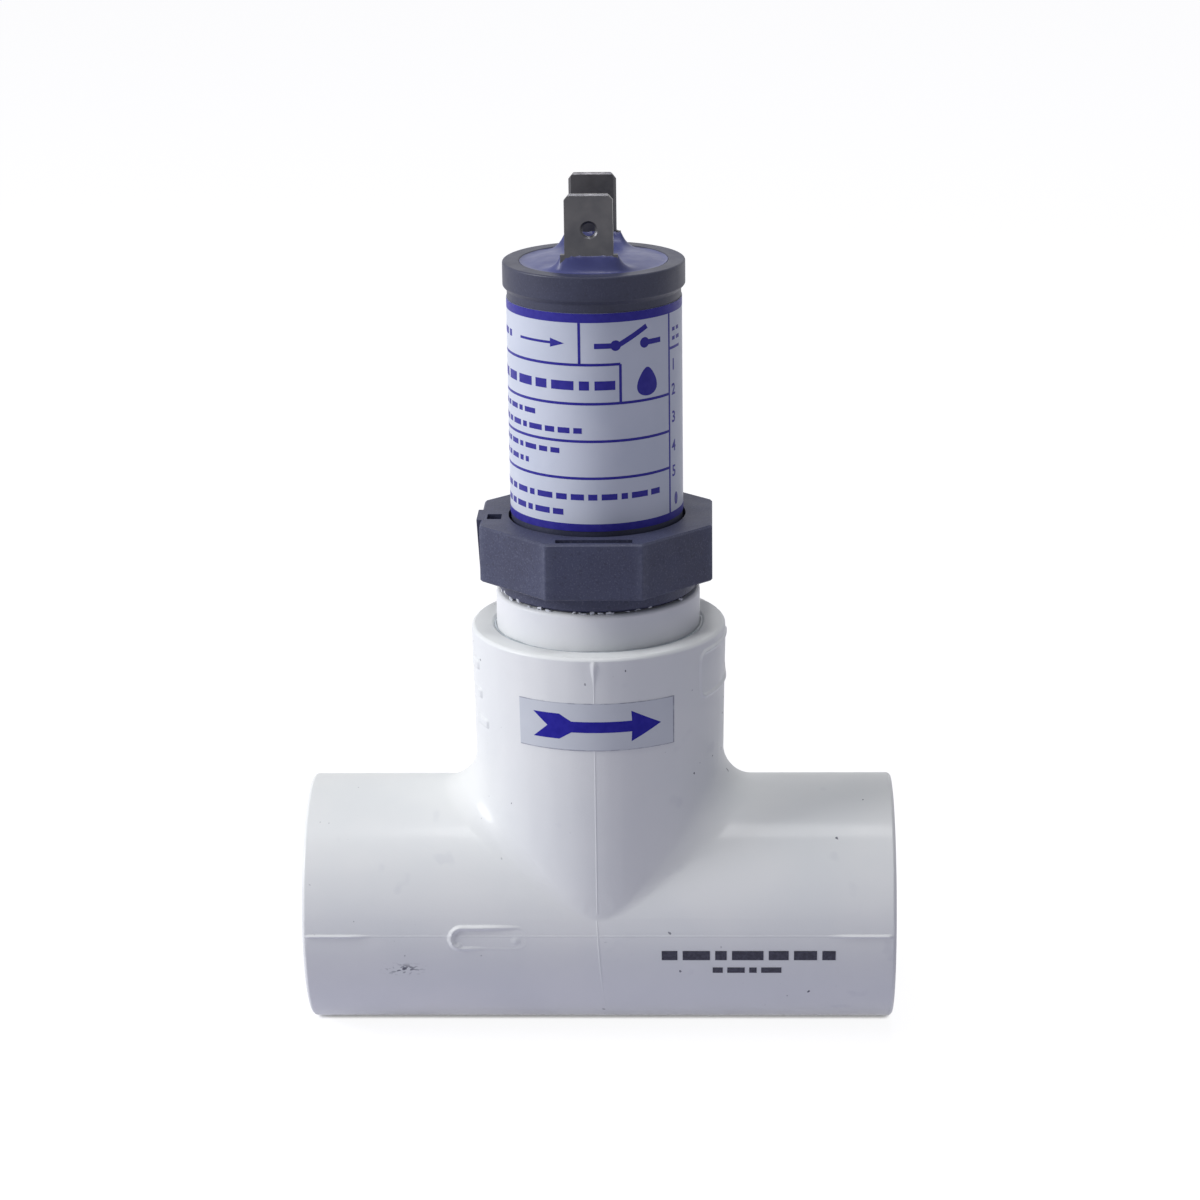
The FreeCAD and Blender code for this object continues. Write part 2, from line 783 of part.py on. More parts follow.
def make_lead_solder():
    """Bead that joins the upper lead's end to the foot of its wire."""
    lead_end = reed_top_z + lead_rise
    bead = turned_z([
        (0.0, lead_end),
        (reed_lead_radius, lead_end),
        (reed_lead_radius, lead_end - solder_height),
        (solder_radius, lead_end - solder_margin),
        (wire_radius, lead_end + wire_end_gap),
        (0.0, lead_end + wire_end_gap),
    ])
    bead.translate(Vector(reed_offset_x, 0, 0))
    return bead


def make_solder_joints(wetted):
    """Four beads of solder; three are cones hollowed by the lead, wire or leg that they wet."""
    tab_y = tab_wire_y + solder_offset
    places = [
        Vector(reed_offset_x, rear_wire_y, lower_lead_z - reed_lead_radius - solder_margin),
        Vector(tab_offset_x, -tab_y, wire_end_z - solder_margin),
        Vector(tab_offset_x, tab_y, wire_end_z - solder_margin),
    ]
    beads = [make_lead_solder()]
    for place in places:
        bead = Part.makeCone(solder_radius, solder_tip_radius, solder_height, place, Vector(0, 0, 1))
        beads.append(bead.cut(Part.makeCompound(wetted)))
    return Part.makeCompound(beads)


# ---- pivot, rocker and spring -------------------------------------------------------------------
def make_pivot_pin():
    """Pin across the stem's cheeks, a little short of the stem's wall at both ends."""
    reach = math.sqrt(stem_radius ** 2 - pin_radius ** 2) - pin_recess
    pin = cylinder_y(pin_radius, -reach, reach, 0.0, pivot_z)
    rims = [edge for edge in pin.Edges if edge.BoundBox.YLength < same_place]
    return pin.makeChamfer(pin_end_chamfer, rims)


def make_rocker_head():
    """Magnet head above the pivot, curved like the cavity's wall, which is its rest stop."""
    top = pivot_z + head_height
    block = plate_xz([
        (-head_back, pivot_z),
        (-head_back, top, head_round),
        (cavity_radius, top),
        (cavity_radius, pivot_z + head_foot),
        (head_back, pivot_z + hub_radius / 2.0),
        (head_back, pivot_z),
    ], -head_half_width, head_half_width)
    return block.common(cylinder_z(head_reach, pivot_z, top))


def make_rocker_arm():
    """Arm and blade: a tapered side view and a round-ended front view, intersected."""
    tip_radius = waterway_radius - blade_tip_gap
    tip_z = run_radius - tip_radius
    side = plate_xz([
        (-arm_top_thickness / 2.0, pivot_z),
        (-blade_tip_thickness / 2.0, tip_z),
        (blade_tip_thickness / 2.0, tip_z),
        (arm_top_thickness / 2.0, pivot_z),
    ], -blade_half_width, blade_half_width)
    top = above_axis(blade_top)
    front = plate_yz([
        (-arm_half_width, pivot_z),
        (-arm_half_width, top, arm_blade_round),
        (-blade_half_width, top, blade_corner_round),
        (-blade_half_width, tip_z),
        (blade_half_width, tip_z),
        (blade_half_width, top, blade_corner_round),
        (arm_half_width, top, arm_blade_round),
        (arm_half_width, pivot_z),
    ], -arm_top_thickness, arm_top_thickness)
    disc_start = Vector(-arm_top_thickness, 0, run_radius)
    disc = Part.makeCylinder(tip_radius, 2.0 * arm_top_thickness, disc_start, Vector(1, 0, 0))
    column = slab(
        Vector(-arm_top_thickness, -arm_half_width, run_radius),
        Vector(arm_top_thickness, arm_half_width, pivot_z),
    )
    return side.common(front).common(disc.fuse(column))


def make_rocker_rib():
    """Stiffening rib down the blade's downstream face."""
    foot = above_axis(rib_foot)
    top = above_axis(rib_top)
    reach = arm_top_thickness / 2.0 + rib_height
    return plate_xz([
        (0.0, foot),
        (blade_tip_thickness / 2.0, foot),
        (reach, (foot + top) / 2.0),
        (reach, top),
        (0.0, top + reach),
    ], -rib_half_width, rib_half_width)


def make_paddle():
    """Moulded rocker: hub and spring journal on the pin, magnet head above, blade below."""
    hub = cylinder_y(hub_radius, hub_start_y, journal_start_y, 0.0, pivot_z)
    journal = cylinder_y(journal_radius, journal_start_y, hub_end_y, 0.0, pivot_z)
    lower = make_rocker_arm().fuse(make_rocker_rib())
    swing = spring_outer_radius + spring_swing_gap
    spring_room = cylinder_y(swing, journal_start_y, cavity_half_width, 0.0, pivot_z)
    rocker = lower.fuse(make_rocker_head()).cut(spring_room).fuse(hub).fuse(journal)
    pin_bore = cylinder_y(pin_radius + pin_clearance, hub_start_y, hub_end_y, 0.0, pivot_z)
    rocker = rocker.cut(pin_bore).cut(make_spring_tab(journal_start_y, spring_tab_clearance))
    top = pivot_z + head_height
    magnet_top = top - cap_thickness
    pocket = cylinder_z(
        magnet_radius + magnet_clearance,
        magnet_top - magnet_length - 2.0 * magnet_clearance,
        magnet_top,
        magnet_offset_x,
    )
    seat = cylinder_z(cap_radius + cap_clearance, magnet_top, top, magnet_offset_x)
    return rocker.cut(pocket).cut(seat).removeSplitter()


def make_paddle_magnet():
    """Rod magnet in the rocker's head."""
    top = pivot_z + head_height - cap_thickness - magnet_clearance
    return cylinder_z(magnet_radius, top - magnet_length, top, magnet_offset_x)


def make_magnet_cap():
    """Plug that closes the magnet's pocket, level with the head's top."""
    top = pivot_z + head_height
    return cylinder_z(cap_radius, top - cap_thickness, top, magnet_offset_x)


def make_spring_tab(start_y, clearance=0.0):
    """Spring's inner tab, bent into the journal; with a clearance it is the journal's slot."""
    half = spring_thickness / 2.0 + clearance
    return slab(
        Vector(-spring_inner_radius, start_y, pivot_z - half),
        Vector(spring_tab_depth + clearance - journal_radius, spring_end_y + clearance, pivot_z + half),
    )


def make_return_spring():
    """Spiral strip spring: inner tab in the journal, outer leg leaning on the cavity's wall."""
    edges = []
    radius = spring_inner_radius
    centre_x = 0.0
    for half_turn in range(2 * spring_turns):
        way = 1.0 if half_turn % 2 else -1.0
        start = Vector(centre_x + way * radius, 0, pivot_z)
        middle = Vector(centre_x, 0, pivot_z - way * radius)
        end = Vector(centre_x - way * radius, 0, pivot_z)
        edges.append(Part.Arc(start, middle, end).toShape())
        radius += spring_pitch / 2.0
        centre_x += way * spring_pitch / 2.0
    wall_x = math.sqrt(cavity_radius ** 2 - spring_end_y ** 2)
    tip_x = spring_thickness + spring_tip_gap - wall_x
    edges += path_edges([
        Vector(-spring_outer_radius, 0, pivot_z),
        Vector(-spring_outer_radius, 0, pivot_z + spring_leg_rise),
        Vector(tip_x, 0, pivot_z + spring_tip_height),
    ], spring_leg_bend)
    half = spring_thickness / 2.0
    section = Part.makePolygon([
        Vector(half - spring_inner_radius, 0, pivot_z),
        Vector(-half - spring_inner_radius, 0, pivot_z),
        Vector(-half - spring_inner_radius, spring_width, pivot_z),
        Vector(half - spring_inner_radius, spring_width, pivot_z),
        Vector(half - spring_inner_radius, 0, pivot_z),
    ])
    strip = Part.Wire(edges).makePipeShell([section], True, False)
    strip.translate(Vector(0, spring_start_y, 0))
    return strip.fuse(make_spring_tab(spring_start_y)).removeSplitter()


def export_all():
    """Make every node and write one STEP file for each."""
    terminal_front = make_terminal(-1)
    terminal_rear = make_terminal(1)
    carrier = make_reed_carrier()
    blade_upper = make_reed_blade_upper()
    blade_lower = make_reed_blade_lower()
    wire_front = make_lead_wire_front()
    wire_rear = make_lead_wire_rear()
    wetted = [blade_upper, blade_lower, wire_front, wire_rear, terminal_front, terminal_rear]
    nodes = {
        "tee_body": make_tee_body(),
        "reducer_bushing": make_reducer_bushing(),
        "cement_bead": make_cement_bead(),
        "thread_tape": make_thread_tape(),
        "flow_arrow_sticker": make_flow_arrow_sticker(),
        "switch_body": make_switch_body(),
        "sensor_barrel": make_sensor_barrel(),
        "barrel_gasket": make_barrel_gasket(),
        "label_sleeve": make_label_sleeve(),
        "potting_compound": make_potting_compound((terminal_front, terminal_rear), carrier),
        "terminal_front": terminal_front,
        "terminal_rear": terminal_rear,
        "reed_carrier": carrier,
        "reed_glass": make_reed_glass(),
        "reed_blade_upper": blade_upper,
        "reed_blade_lower": blade_lower,
        "lead_wire_front": wire_front,
        "lead_wire_rear": wire_rear,
        "solder_joints": make_solder_joints(wetted),
        "pivot_pin": make_pivot_pin(),
        "paddle": make_paddle(),
        "paddle_magnet": make_paddle_magnet(),
        "magnet_cap": make_magnet_cap(),
        "return_spring": make_return_spring(),
    }
    os.makedirs("parts", exist_ok=True)
    for name, shape in nodes.items():
        shape.exportStep("parts/" + name + ".step")
        solids = len(shape.Solids)
        print(name, "solids", solids, "valid", shape.isValid(), "volume", round(shape.Volume, 2))


if __name__ == "__main__":
    export_all()
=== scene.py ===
"""Looks of a paddle flow switch in a 3/4 inch slip tee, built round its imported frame.

Sizes in the classes are in millimetres. Meshes are made in metres, in the frame's axes: +X is the
direction of flow, +Z runs up the branch to the tabs, and Z is 0 under the run.
"""
import json
import logging
import math
from dataclasses import dataclass, field
from enum import Enum
from typing import Callable, NamedTuple, Optional, Sequence, Union

import bmesh
import bpy
from mathutils import Matrix, Vector, noise

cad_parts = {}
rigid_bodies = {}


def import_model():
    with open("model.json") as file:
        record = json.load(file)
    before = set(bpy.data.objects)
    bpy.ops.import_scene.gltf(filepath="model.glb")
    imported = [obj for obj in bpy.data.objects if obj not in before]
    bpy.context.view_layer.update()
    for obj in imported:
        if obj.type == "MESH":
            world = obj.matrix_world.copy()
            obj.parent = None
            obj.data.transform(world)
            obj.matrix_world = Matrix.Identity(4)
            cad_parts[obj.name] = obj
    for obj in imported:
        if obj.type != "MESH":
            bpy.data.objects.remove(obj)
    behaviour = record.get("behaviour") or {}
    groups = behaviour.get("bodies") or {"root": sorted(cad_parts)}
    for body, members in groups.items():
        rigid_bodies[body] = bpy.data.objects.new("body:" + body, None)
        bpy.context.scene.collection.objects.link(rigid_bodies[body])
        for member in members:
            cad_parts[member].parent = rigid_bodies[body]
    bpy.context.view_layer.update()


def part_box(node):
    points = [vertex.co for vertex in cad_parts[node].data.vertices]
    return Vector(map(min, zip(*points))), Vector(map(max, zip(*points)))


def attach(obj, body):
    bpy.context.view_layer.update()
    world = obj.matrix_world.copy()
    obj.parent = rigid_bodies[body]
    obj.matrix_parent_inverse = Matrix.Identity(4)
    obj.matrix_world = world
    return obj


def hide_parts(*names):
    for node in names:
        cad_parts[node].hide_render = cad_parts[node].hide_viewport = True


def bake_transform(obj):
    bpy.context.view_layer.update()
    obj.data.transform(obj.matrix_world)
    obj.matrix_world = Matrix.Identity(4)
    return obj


MM = 0.001
LOG = logging.getLogger("flow_switch")

Rgb = tuple[float, float, float]
Socket = bpy.types.NodeSocket
Value = Union[float, Socket]
Span = tuple[float, float]
Corner = tuple[float, ...]
Outline = Sequence[tuple[float, float]]


class Body(Enum):
    """CAD bodies that the pieces ride on."""

    HOUSING = "housing"
    ROCKER = "rocker"


# ---- finishes ---------------------------------------------------------------------------------
def linear(colour: Rgb) -> tuple[float, float, float, float]:
    """Turns a display colour of 0 to 255 into the linear colour that a shader takes.

    Args:
        colour: red, green and blue as a screen shows them.

    Returns:
        Linear red, green, blue and an alpha of 1.
    """
    parts = [channel / 255.0 for channel in colour]
    light = [c / 12.92 if c <= 0.04045 else ((c + 0.055) / 1.055) ** 2.4 for c in parts]
    return (light[0], light[1], light[2], 1.0)


class Patches(NamedTuple):
    """Soft patches of noise: their spacing and fineness, where they start and are full, how strong."""

    size_mm: float
    layers: float
    low: float
    high: float
    least: float = 0.0
    most: float = 1.0


class Skin(NamedTuple):
    """What a finish builds up for its surface."""

    colour: Socket
    gloss: Socket
    normal: Socket


class Nodes:
    """A node tree, with a short call for each kind of node."""

    def __init__(self, tree: bpy.types.NodeTree) -> None:
        """Takes the tree that nodes are added to."""
        self.tree = tree

    def add(self, kind: str, **settings: object) -> bpy.types.Node:
        """Adds a node.

        Args:
            kind: the node's type name.
            **settings: properties to set on it.

        Returns:
            The new node.
        """
        node = self.tree.nodes.new(kind)
        for name, value in settings.items():
            setattr(node, name, value)
        return node

    def feed(self, target: Socket, value: object) -> None:
        """Links a socket to an input, or writes a plain value on it.

        Args:
            target: the input.
            value: another node's socket, or a plain value.
        """
        if isinstance(value, bpy.types.NodeSocket):
            self.tree.links.new(value, target)
        else:
            target.default_value = value

    def calc(self, operation: str, first: Value, second: Value = 0.0) -> Socket:
        """Does one sum on numbers or sockets.

        Args:
            operation: the Math node's operation.
            first: its first number.
            second: its second number.

        Returns:
            The result's socket.
        """
        node = self.add("ShaderNodeMath", operation=operation)
        self.feed(node.inputs[0], first)
        self.feed(node.inputs[1], second)
        return node.outputs[0]

    def shown(self) -> Socket:
        """Tells the rays that show something from those that light it.

        Returns:
            A socket of 1 for a ray from the camera, a gloss or a glass, and 0 for any other.
        """
        path = self.add("ShaderNodeLightPath")
        seen = self.calc("MAXIMUM", path.outputs["Is Camera Ray"], path.outputs["Is Glossy Ray"])
        return self.calc("MAXIMUM", seen, path.outputs["Is Transmission Ray"])

    def mixed(self, share: Value, first: Socket, second: Socket, target: Socket) -> None:
        """Mixes two shaders into a target.

        Args:
            share: 0 for the first, 1 for the second.
            first: a shader's socket.
            second: a shader's socket.
            target: the input that the mix goes to.
        """
        mix = self.add("ShaderNodeMixShader")
        for index, part in enumerate((share, first, second)):
            self.feed(mix.inputs[index], part)
        self.feed(target, mix.outputs[0])


class Shader(Nodes):
    """Node tree of one procedural material."""

    def __init__(self, name: str) -> None:
        """Starts a tree with one surface.

        Args:
            name: the material's name.
        """
        self.material = bpy.data.materials.new(name)
        self.material.use_nodes = True
        super().__init__(self.material.node_tree)
        self.tree.nodes.clear()
        self.output = self.add("ShaderNodeOutputMaterial")
        self.surface = self.add("ShaderNodeBsdfPrincipled")
        self.feed(self.output.inputs["Surface"], self.surface.outputs["BSDF"])
        self.place = self.add("ShaderNodeTexCoord").outputs["Object"]
        self.split = self.add("ShaderNodeSeparateXYZ")
        self.feed(self.split.inputs[0], self.place)

    def axis(self, name: str) -> Socket:
        """Gives one coordinate of the surface, in metres."""
        return self.split.outputs[name]

    def noise(self, size_mm: float, detail: float = 3.0, place: Optional[Socket] = None) -> Socket:
        """Gives soft noise of a size.

        Args:
            size_mm: how far apart its blotches are.
            detail: how many finer layers it has.
            place: the coordinates that it follows, or the object's own.

        Returns:
            A socket of about 0 to 1.
        """
        node = self.add("ShaderNodeTexNoise")
        self.feed(node.inputs["Vector"], place or self.place)
        node.inputs["Scale"].default_value = 1.0 / (size_mm * MM)
        node.inputs["Detail"].default_value = detail
        return node.outputs["Fac"]

    def stretch(self, scale: tuple[float, float, float]) -> Socket:
        """Stretches the object's coordinates.

        Args:
            scale: the factor along each axis.

        Returns:
            The coordinates' socket.
        """
        node = self.add("ShaderNodeMapping")
        self.feed(node.inputs["Vector"], self.place)
        node.inputs["Scale"].default_value = scale
        return node.outputs[0]

    def span(self, value: Value, low: float, high: float, start: float = 0.0, end: float = 1.0) -> Socket:
        """Maps a stretch of a value smoothly onto another, and holds it at both ends.

        Args:
            value: what is mapped.
            low: where the stretch starts.
            high: where it ends.
            start: the result at low.
            end: the result at high.

        Returns:
            The mapped socket.
        """
        node = self.add("ShaderNodeMapRange", interpolation_type="SMOOTHSTEP")
        for index, part in enumerate((value, low, high, start, end)):
            self.feed(node.inputs[index], part)
        return node.outputs[0]

    def near(self, value: Socket, centre: float, half: float) -> Socket:
        """Gives 1 where a value is at a centre, falling to 0 at half a width to each side."""
        away = self.calc("ABSOLUTE", self.calc("SUBTRACT", value, centre))
        return self.span(away, 0.0, half, 1.0, 0.0)

    def patches(self, patches: Patches, place: Optional[Socket] = None) -> Socket:
        """Gives soft patches, at the object's own coordinates or at others."""
        blotches = self.noise(patches.size_mm, patches.layers, place)
        return self.span(blotches, patches.low, patches.high, patches.least, patches.most)

    def blend(self, factor: Value, first: object, second: object) -> Socket:
        """Mixes two colours.

        Args:
            factor: 0 for the first, 1 for the second.
            first: a linear colour or a socket.
            second: a linear colour or a socket.

        Returns:
            The mixed colour's socket.
        """
        node = self.add("ShaderNodeMix", data_type="RGBA")
        factor_input, first_colour, second_colour, colour_output = 0, 6, 7, 2
        self.feed(node.inputs[factor_input], factor)
        self.feed(node.inputs[first_colour], first)
        self.feed(node.inputs[second_colour], second)
        return node.outputs[colour_output]

    def bump(self, height: Socket, depth_mm: float, below: Optional[Socket] = None) -> Socket:
        """Raises the surface in shading.

        Args:
            height: the relief, from 0 to 1.
            depth_mm: how high 1 stands.
            below: a normal that this relief is laid on.

        Returns:
            The new normal's socket.
        """
        node = self.add("ShaderNodeBump")
        node.inputs["Distance"].default_value = depth_mm * MM
        self.feed(node.inputs["Height"], height)
        if below:
            self.feed(node.inputs["Normal"], below)
        return node.outputs[0]


@dataclass(frozen=True)
class Finish:
    """A procedural finish: a colour that drifts, an uneven gloss and a fine grain."""

    name: str
    colour: Rgb
    drift: Rgb
    roughness: float
    gloss_spread: float = 0.06
    metallic: float = 0.0
    mottle_mm: float = 7.0
    grain_mm: float = 0.3
    grain_layers: float = 4.0
    grain_depth_mm: float = 0.006
    specular: float = 0.35
    coat: float = 0.0
    coat_roughness: float = 0.14
    transmission: float = 0.0
    refraction: float = 1.5

    def material(self) -> bpy.types.Material:
        """Makes the material once and gives it from then on."""
        return bpy.data.materials.get(self.name) or self.make()

    def make(self) -> bpy.types.Material:
        """Builds the node tree.

        Returns:
            The new material.
        """
        shader = Shader(self.name)
        drifting = Patches(size_mm=self.mottle_mm, layers=3.0, low=0.32, high=0.68)
        duller = Patches(
            size_mm=self.mottle_mm * 0.4, layers=3.0, low=0.3, high=0.7,
            least=self.roughness, most=self.roughness + self.gloss_spread,
        )
        grain = shader.noise(self.grain_mm, self.grain_layers)
        skin = self.detail(shader, Skin(
            colour=shader.blend(shader.patches(drifting), linear(self.colour), linear(self.drift)),
            gloss=shader.patches(duller),
            normal=shader.bump(grain, self.grain_depth_mm),
        ))
        for socket, value in (
            ("Base Color", skin.colour),
            ("Roughness", skin.gloss),
            ("Normal", skin.normal),
            ("Metallic", self.metallic),
            ("Specular IOR Level", self.specular),
            ("Coat Weight", self.coat),
            ("Coat Roughness", self.coat_roughness),
            ("Transmission Weight", self.transmission),
            ("IOR", self.refraction),
        ):
            shader.feed(shader.surface.inputs[socket], value)
        return shader.material

    def detail(self, shader: Shader, skin: Skin) -> Skin:
        """Adds nothing: a finish with marks of its own adds them here."""
        return skin


@dataclass(frozen=True)
class MouldedTee(Finish):
    """White moulded fitting with a few dark specks, faint smudges and one scuff."""

    smudge: Rgb = (186, 189, 200)
    smudges: Patches = Patches(5.2, 2.0, 0.66, 0.74, most=0.15)
    dirt: Rgb = (92, 94, 108)
    specks: Patches = Patches(0.95, 1.0, 0.765, 0.80)
    speck_groups: Patches = Patches(17.0, 1.0, 0.5, 0.6)
    scuff_x: float = -26.2
    scuff_z: float = 12.3
    scuff_half_x: float = 3.6
    scuff_half_z: float = 1.2
    scuff_y: float = -15.0
    scuff_end_y: float = -14.2
    scuff_dashes: Patches = Patches(0.55, 1.0, 0.52, 0.6)
    dash_stretch: tuple[float, float, float] = (0.7, 1.0, 1.5)

    def detail(self, shader: Shader, skin: Skin) -> Skin:
        """Adds the smudges, the specks and the scuff on the outer wall's front.

        Args:
            shader: the tree.
            skin: the plain finish.

        Returns:
            The marked finish.
        """
        colour = shader.blend(shader.patches(self.smudges), skin.colour, linear(self.smudge))
        speck = shader.calc("MULTIPLY", shader.patches(self.specks), shader.patches(self.speck_groups))
        colour = shader.blend(speck, colour, linear(self.dirt))
        scuff = shader.calc(
            "MULTIPLY",
            shader.near(shader.axis("X"), self.scuff_x * MM, self.scuff_half_x * MM),
            shader.near(shader.axis("Z"), self.scuff_z * MM, self.scuff_half_z * MM),
        )
        front = shader.span(shader.axis("Y"), self.scuff_y * MM, self.scuff_end_y * MM, 1.0, 0.0)
        dashes = shader.patches(self.scuff_dashes, shader.stretch(self.dash_stretch))
        scuff = shader.calc("MULTIPLY", shader.calc("MULTIPLY", scuff, front), dashes)
        return skin._replace(colour=shader.blend(scuff, colour, linear(self.dirt)))


@dataclass(frozen=True)
class SlatePlastic(Finish):
    """Grey moulded plastic: a fine speckle and pits, and a painted highlight that makes the corners a
    little paler.
    """

    speckle: Rgb = (92, 96, 118)
    speckles: Patches = Patches(0.24, 2.0, 0.52, 0.72, most=0.5)
    pit: Rgb = (36, 38, 56)
    pits: Patches = Patches(0.4, 2.0, 0.56, 0.7, most=0.4)
    rubbed: Rgb = (104, 109, 130)
    rub: float = 0.3
    rub_gaps: Patches = Patches(0.8, 3.0, 0.35, 0.6, least=0.3)
    corner_mm: float = 16.35
    corner_half_mm: float = 0.25

    def detail(self, shader: Shader, skin: Skin) -> Skin:
        """Adds the speckle, the pits and the painted highlight on the corners.

        Args:
            shader: the tree.
            skin: the plain finish.

        Returns:
            The marked finish.
        """
        colour = shader.blend(shader.patches(self.speckles), skin.colour, linear(self.speckle))
        colour = shader.blend(shader.patches(self.pits), colour, linear(self.pit))
        # painted highlight: the corners, found by their distance from Z, are painted paler in broken
        # patches
        squares = [shader.calc("POWER", shader.axis(name), 2.0) for name in "XY"]
        far = shader.calc("SQRT", shader.calc("ADD", *squares))
        inner = (self.corner_mm - self.corner_half_mm) * MM
        outer = (self.corner_mm + self.corner_half_mm) * MM
        rub = shader.calc(
            "MULTIPLY", shader.span(far, inner, outer, 0.0, self.rub), shader.patches(self.rub_gaps)
        )
        return skin._replace(colour=shader.blend(rub, colour, linear(self.rubbed)))


@dataclass(frozen=True)
class PouredResin(Finish):
    """Blue casting resin, with painted shade that darkens it round the tabs' feet."""

    deep: Rgb = (38, 42, 96)
    deepness: Patches = Patches(2.6, 3.0, 0.2, 0.6, least=0.7)
    tab_x: float = -0.3
    tab_y: float = 7.7
    reach_x: float = 7.6
    reach_y: float = 3.4

    def detail(self, shader: Shader, skin: Skin) -> Skin:
        """Paints shade that darkens the colour round the tabs' feet.

        Args:
            shader: the tree.
            skin: the plain finish.

        Returns:
            The marked finish.
        """
        # painted shade: the colour darkens in patches round the tabs' feet
        across = shader.near(shader.axis("X"), self.tab_x * MM, self.reach_x * MM)
        along = shader.near(shader.calc("ABSOLUTE", shader.axis("Y")), self.tab_y * MM, self.reach_y * MM)
        near = shader.calc("MULTIPLY", across, along)
        near = shader.calc("MULTIPLY", near, shader.patches(self.deepness))
        return skin._replace(colour=shader.blend(near, skin.colour, linear(self.deep)))


@dataclass(frozen=True)
class ClearFilm(Finish):
    """Thin matt film, darker along its cut edges."""

    edge: Rgb = (126, 128, 146)
    edge_gaps: Patches = Patches(1.3, 3.0, 0.35, 0.6, least=0.35)
    foot: float = 43.62
    top: float = 50.17
    half_long: float = 10.2
    edge_mm: float = 0.16

    def detail(self, shader: Shader, skin: Skin) -> Skin:
        """Darkens the edges, unevenly.

        Args:
            shader: the tree.
            skin: the plain finish.

        Returns:
            The marked finish.
        """
        wide = self.edge_mm * MM
        foot, top = (shader.near(shader.axis("Z"), height * MM, wide) for height in (self.foot, self.top))
        ends = shader.near(shader.calc("ABSOLUTE", shader.axis("X")), self.half_long * MM, wide)
        edge = shader.calc("MAXIMUM", shader.calc("MAXIMUM", foot, top), ends)
        edge = shader.calc("MULTIPLY", edge, shader.patches(self.edge_gaps))
        return skin._replace(colour=shader.blend(edge, skin.colour, linear(self.edge)))


@dataclass(frozen=True)
class DrawnMetal(Finish):
    """Metal with fine lines along Z and dull spots."""

    line_mm: float = 0.12
    line_layers: float = 2.0
    line_stretch: tuple[float, float, float] = (1.0, 1.0, 0.04)
    line_depth_mm: float = 0.004
    dull: Rgb = (70, 70, 76)
    tarnish: Patches = Patches(2.6, 3.0, 0.45, 0.75, most=0.5)

    def detail(self, shader: Shader, skin: Skin) -> Skin:
        """Adds the drawn lines and the tarnish.

        Args:
            shader: the tree.
            skin: the plain finish.

        Returns:
            The marked finish.
        """
        lines = shader.noise(self.line_mm, self.line_layers, shader.stretch(self.line_stretch))
        return skin._replace(
            colour=shader.blend(shader.patches(self.tarnish), skin.colour, linear(self.dull)),
            normal=shader.bump(lines, self.line_depth_mm, skin.normal),
        )


@dataclass(frozen=True)
class Laminate(Finish):
    """Woven board: a fine square weave under resin."""

    thread_mm: float = 0.35
    thread_depth_mm: float = 0.02
    shade: Rgb = (110, 84, 40)
    shading: float = 0.25

    def detail(self, shader: Shader, skin: Skin) -> Skin:
        """Adds the weave.

        Args:
            shader: the tree.
            skin: the plain finish.

        Returns:
            The marked finish.
        """
        turn = math.pi / (self.thread_mm * MM)
        waves = [
            shader.calc("SINE", shader.calc("MULTIPLY", shader.axis(name), turn)) for name in "XZ"
        ]
        weave = shader.span(shader.calc("MULTIPLY", *waves), -1.0, 1.0)
        shaded = shader.calc("MULTIPLY", weave, self.shading)
        return skin._replace(
            colour=shader.blend(shaded, skin.colour, linear(self.shade)),
            normal=shader.bump(weave, self.thread_depth_mm, skin.normal),
        )


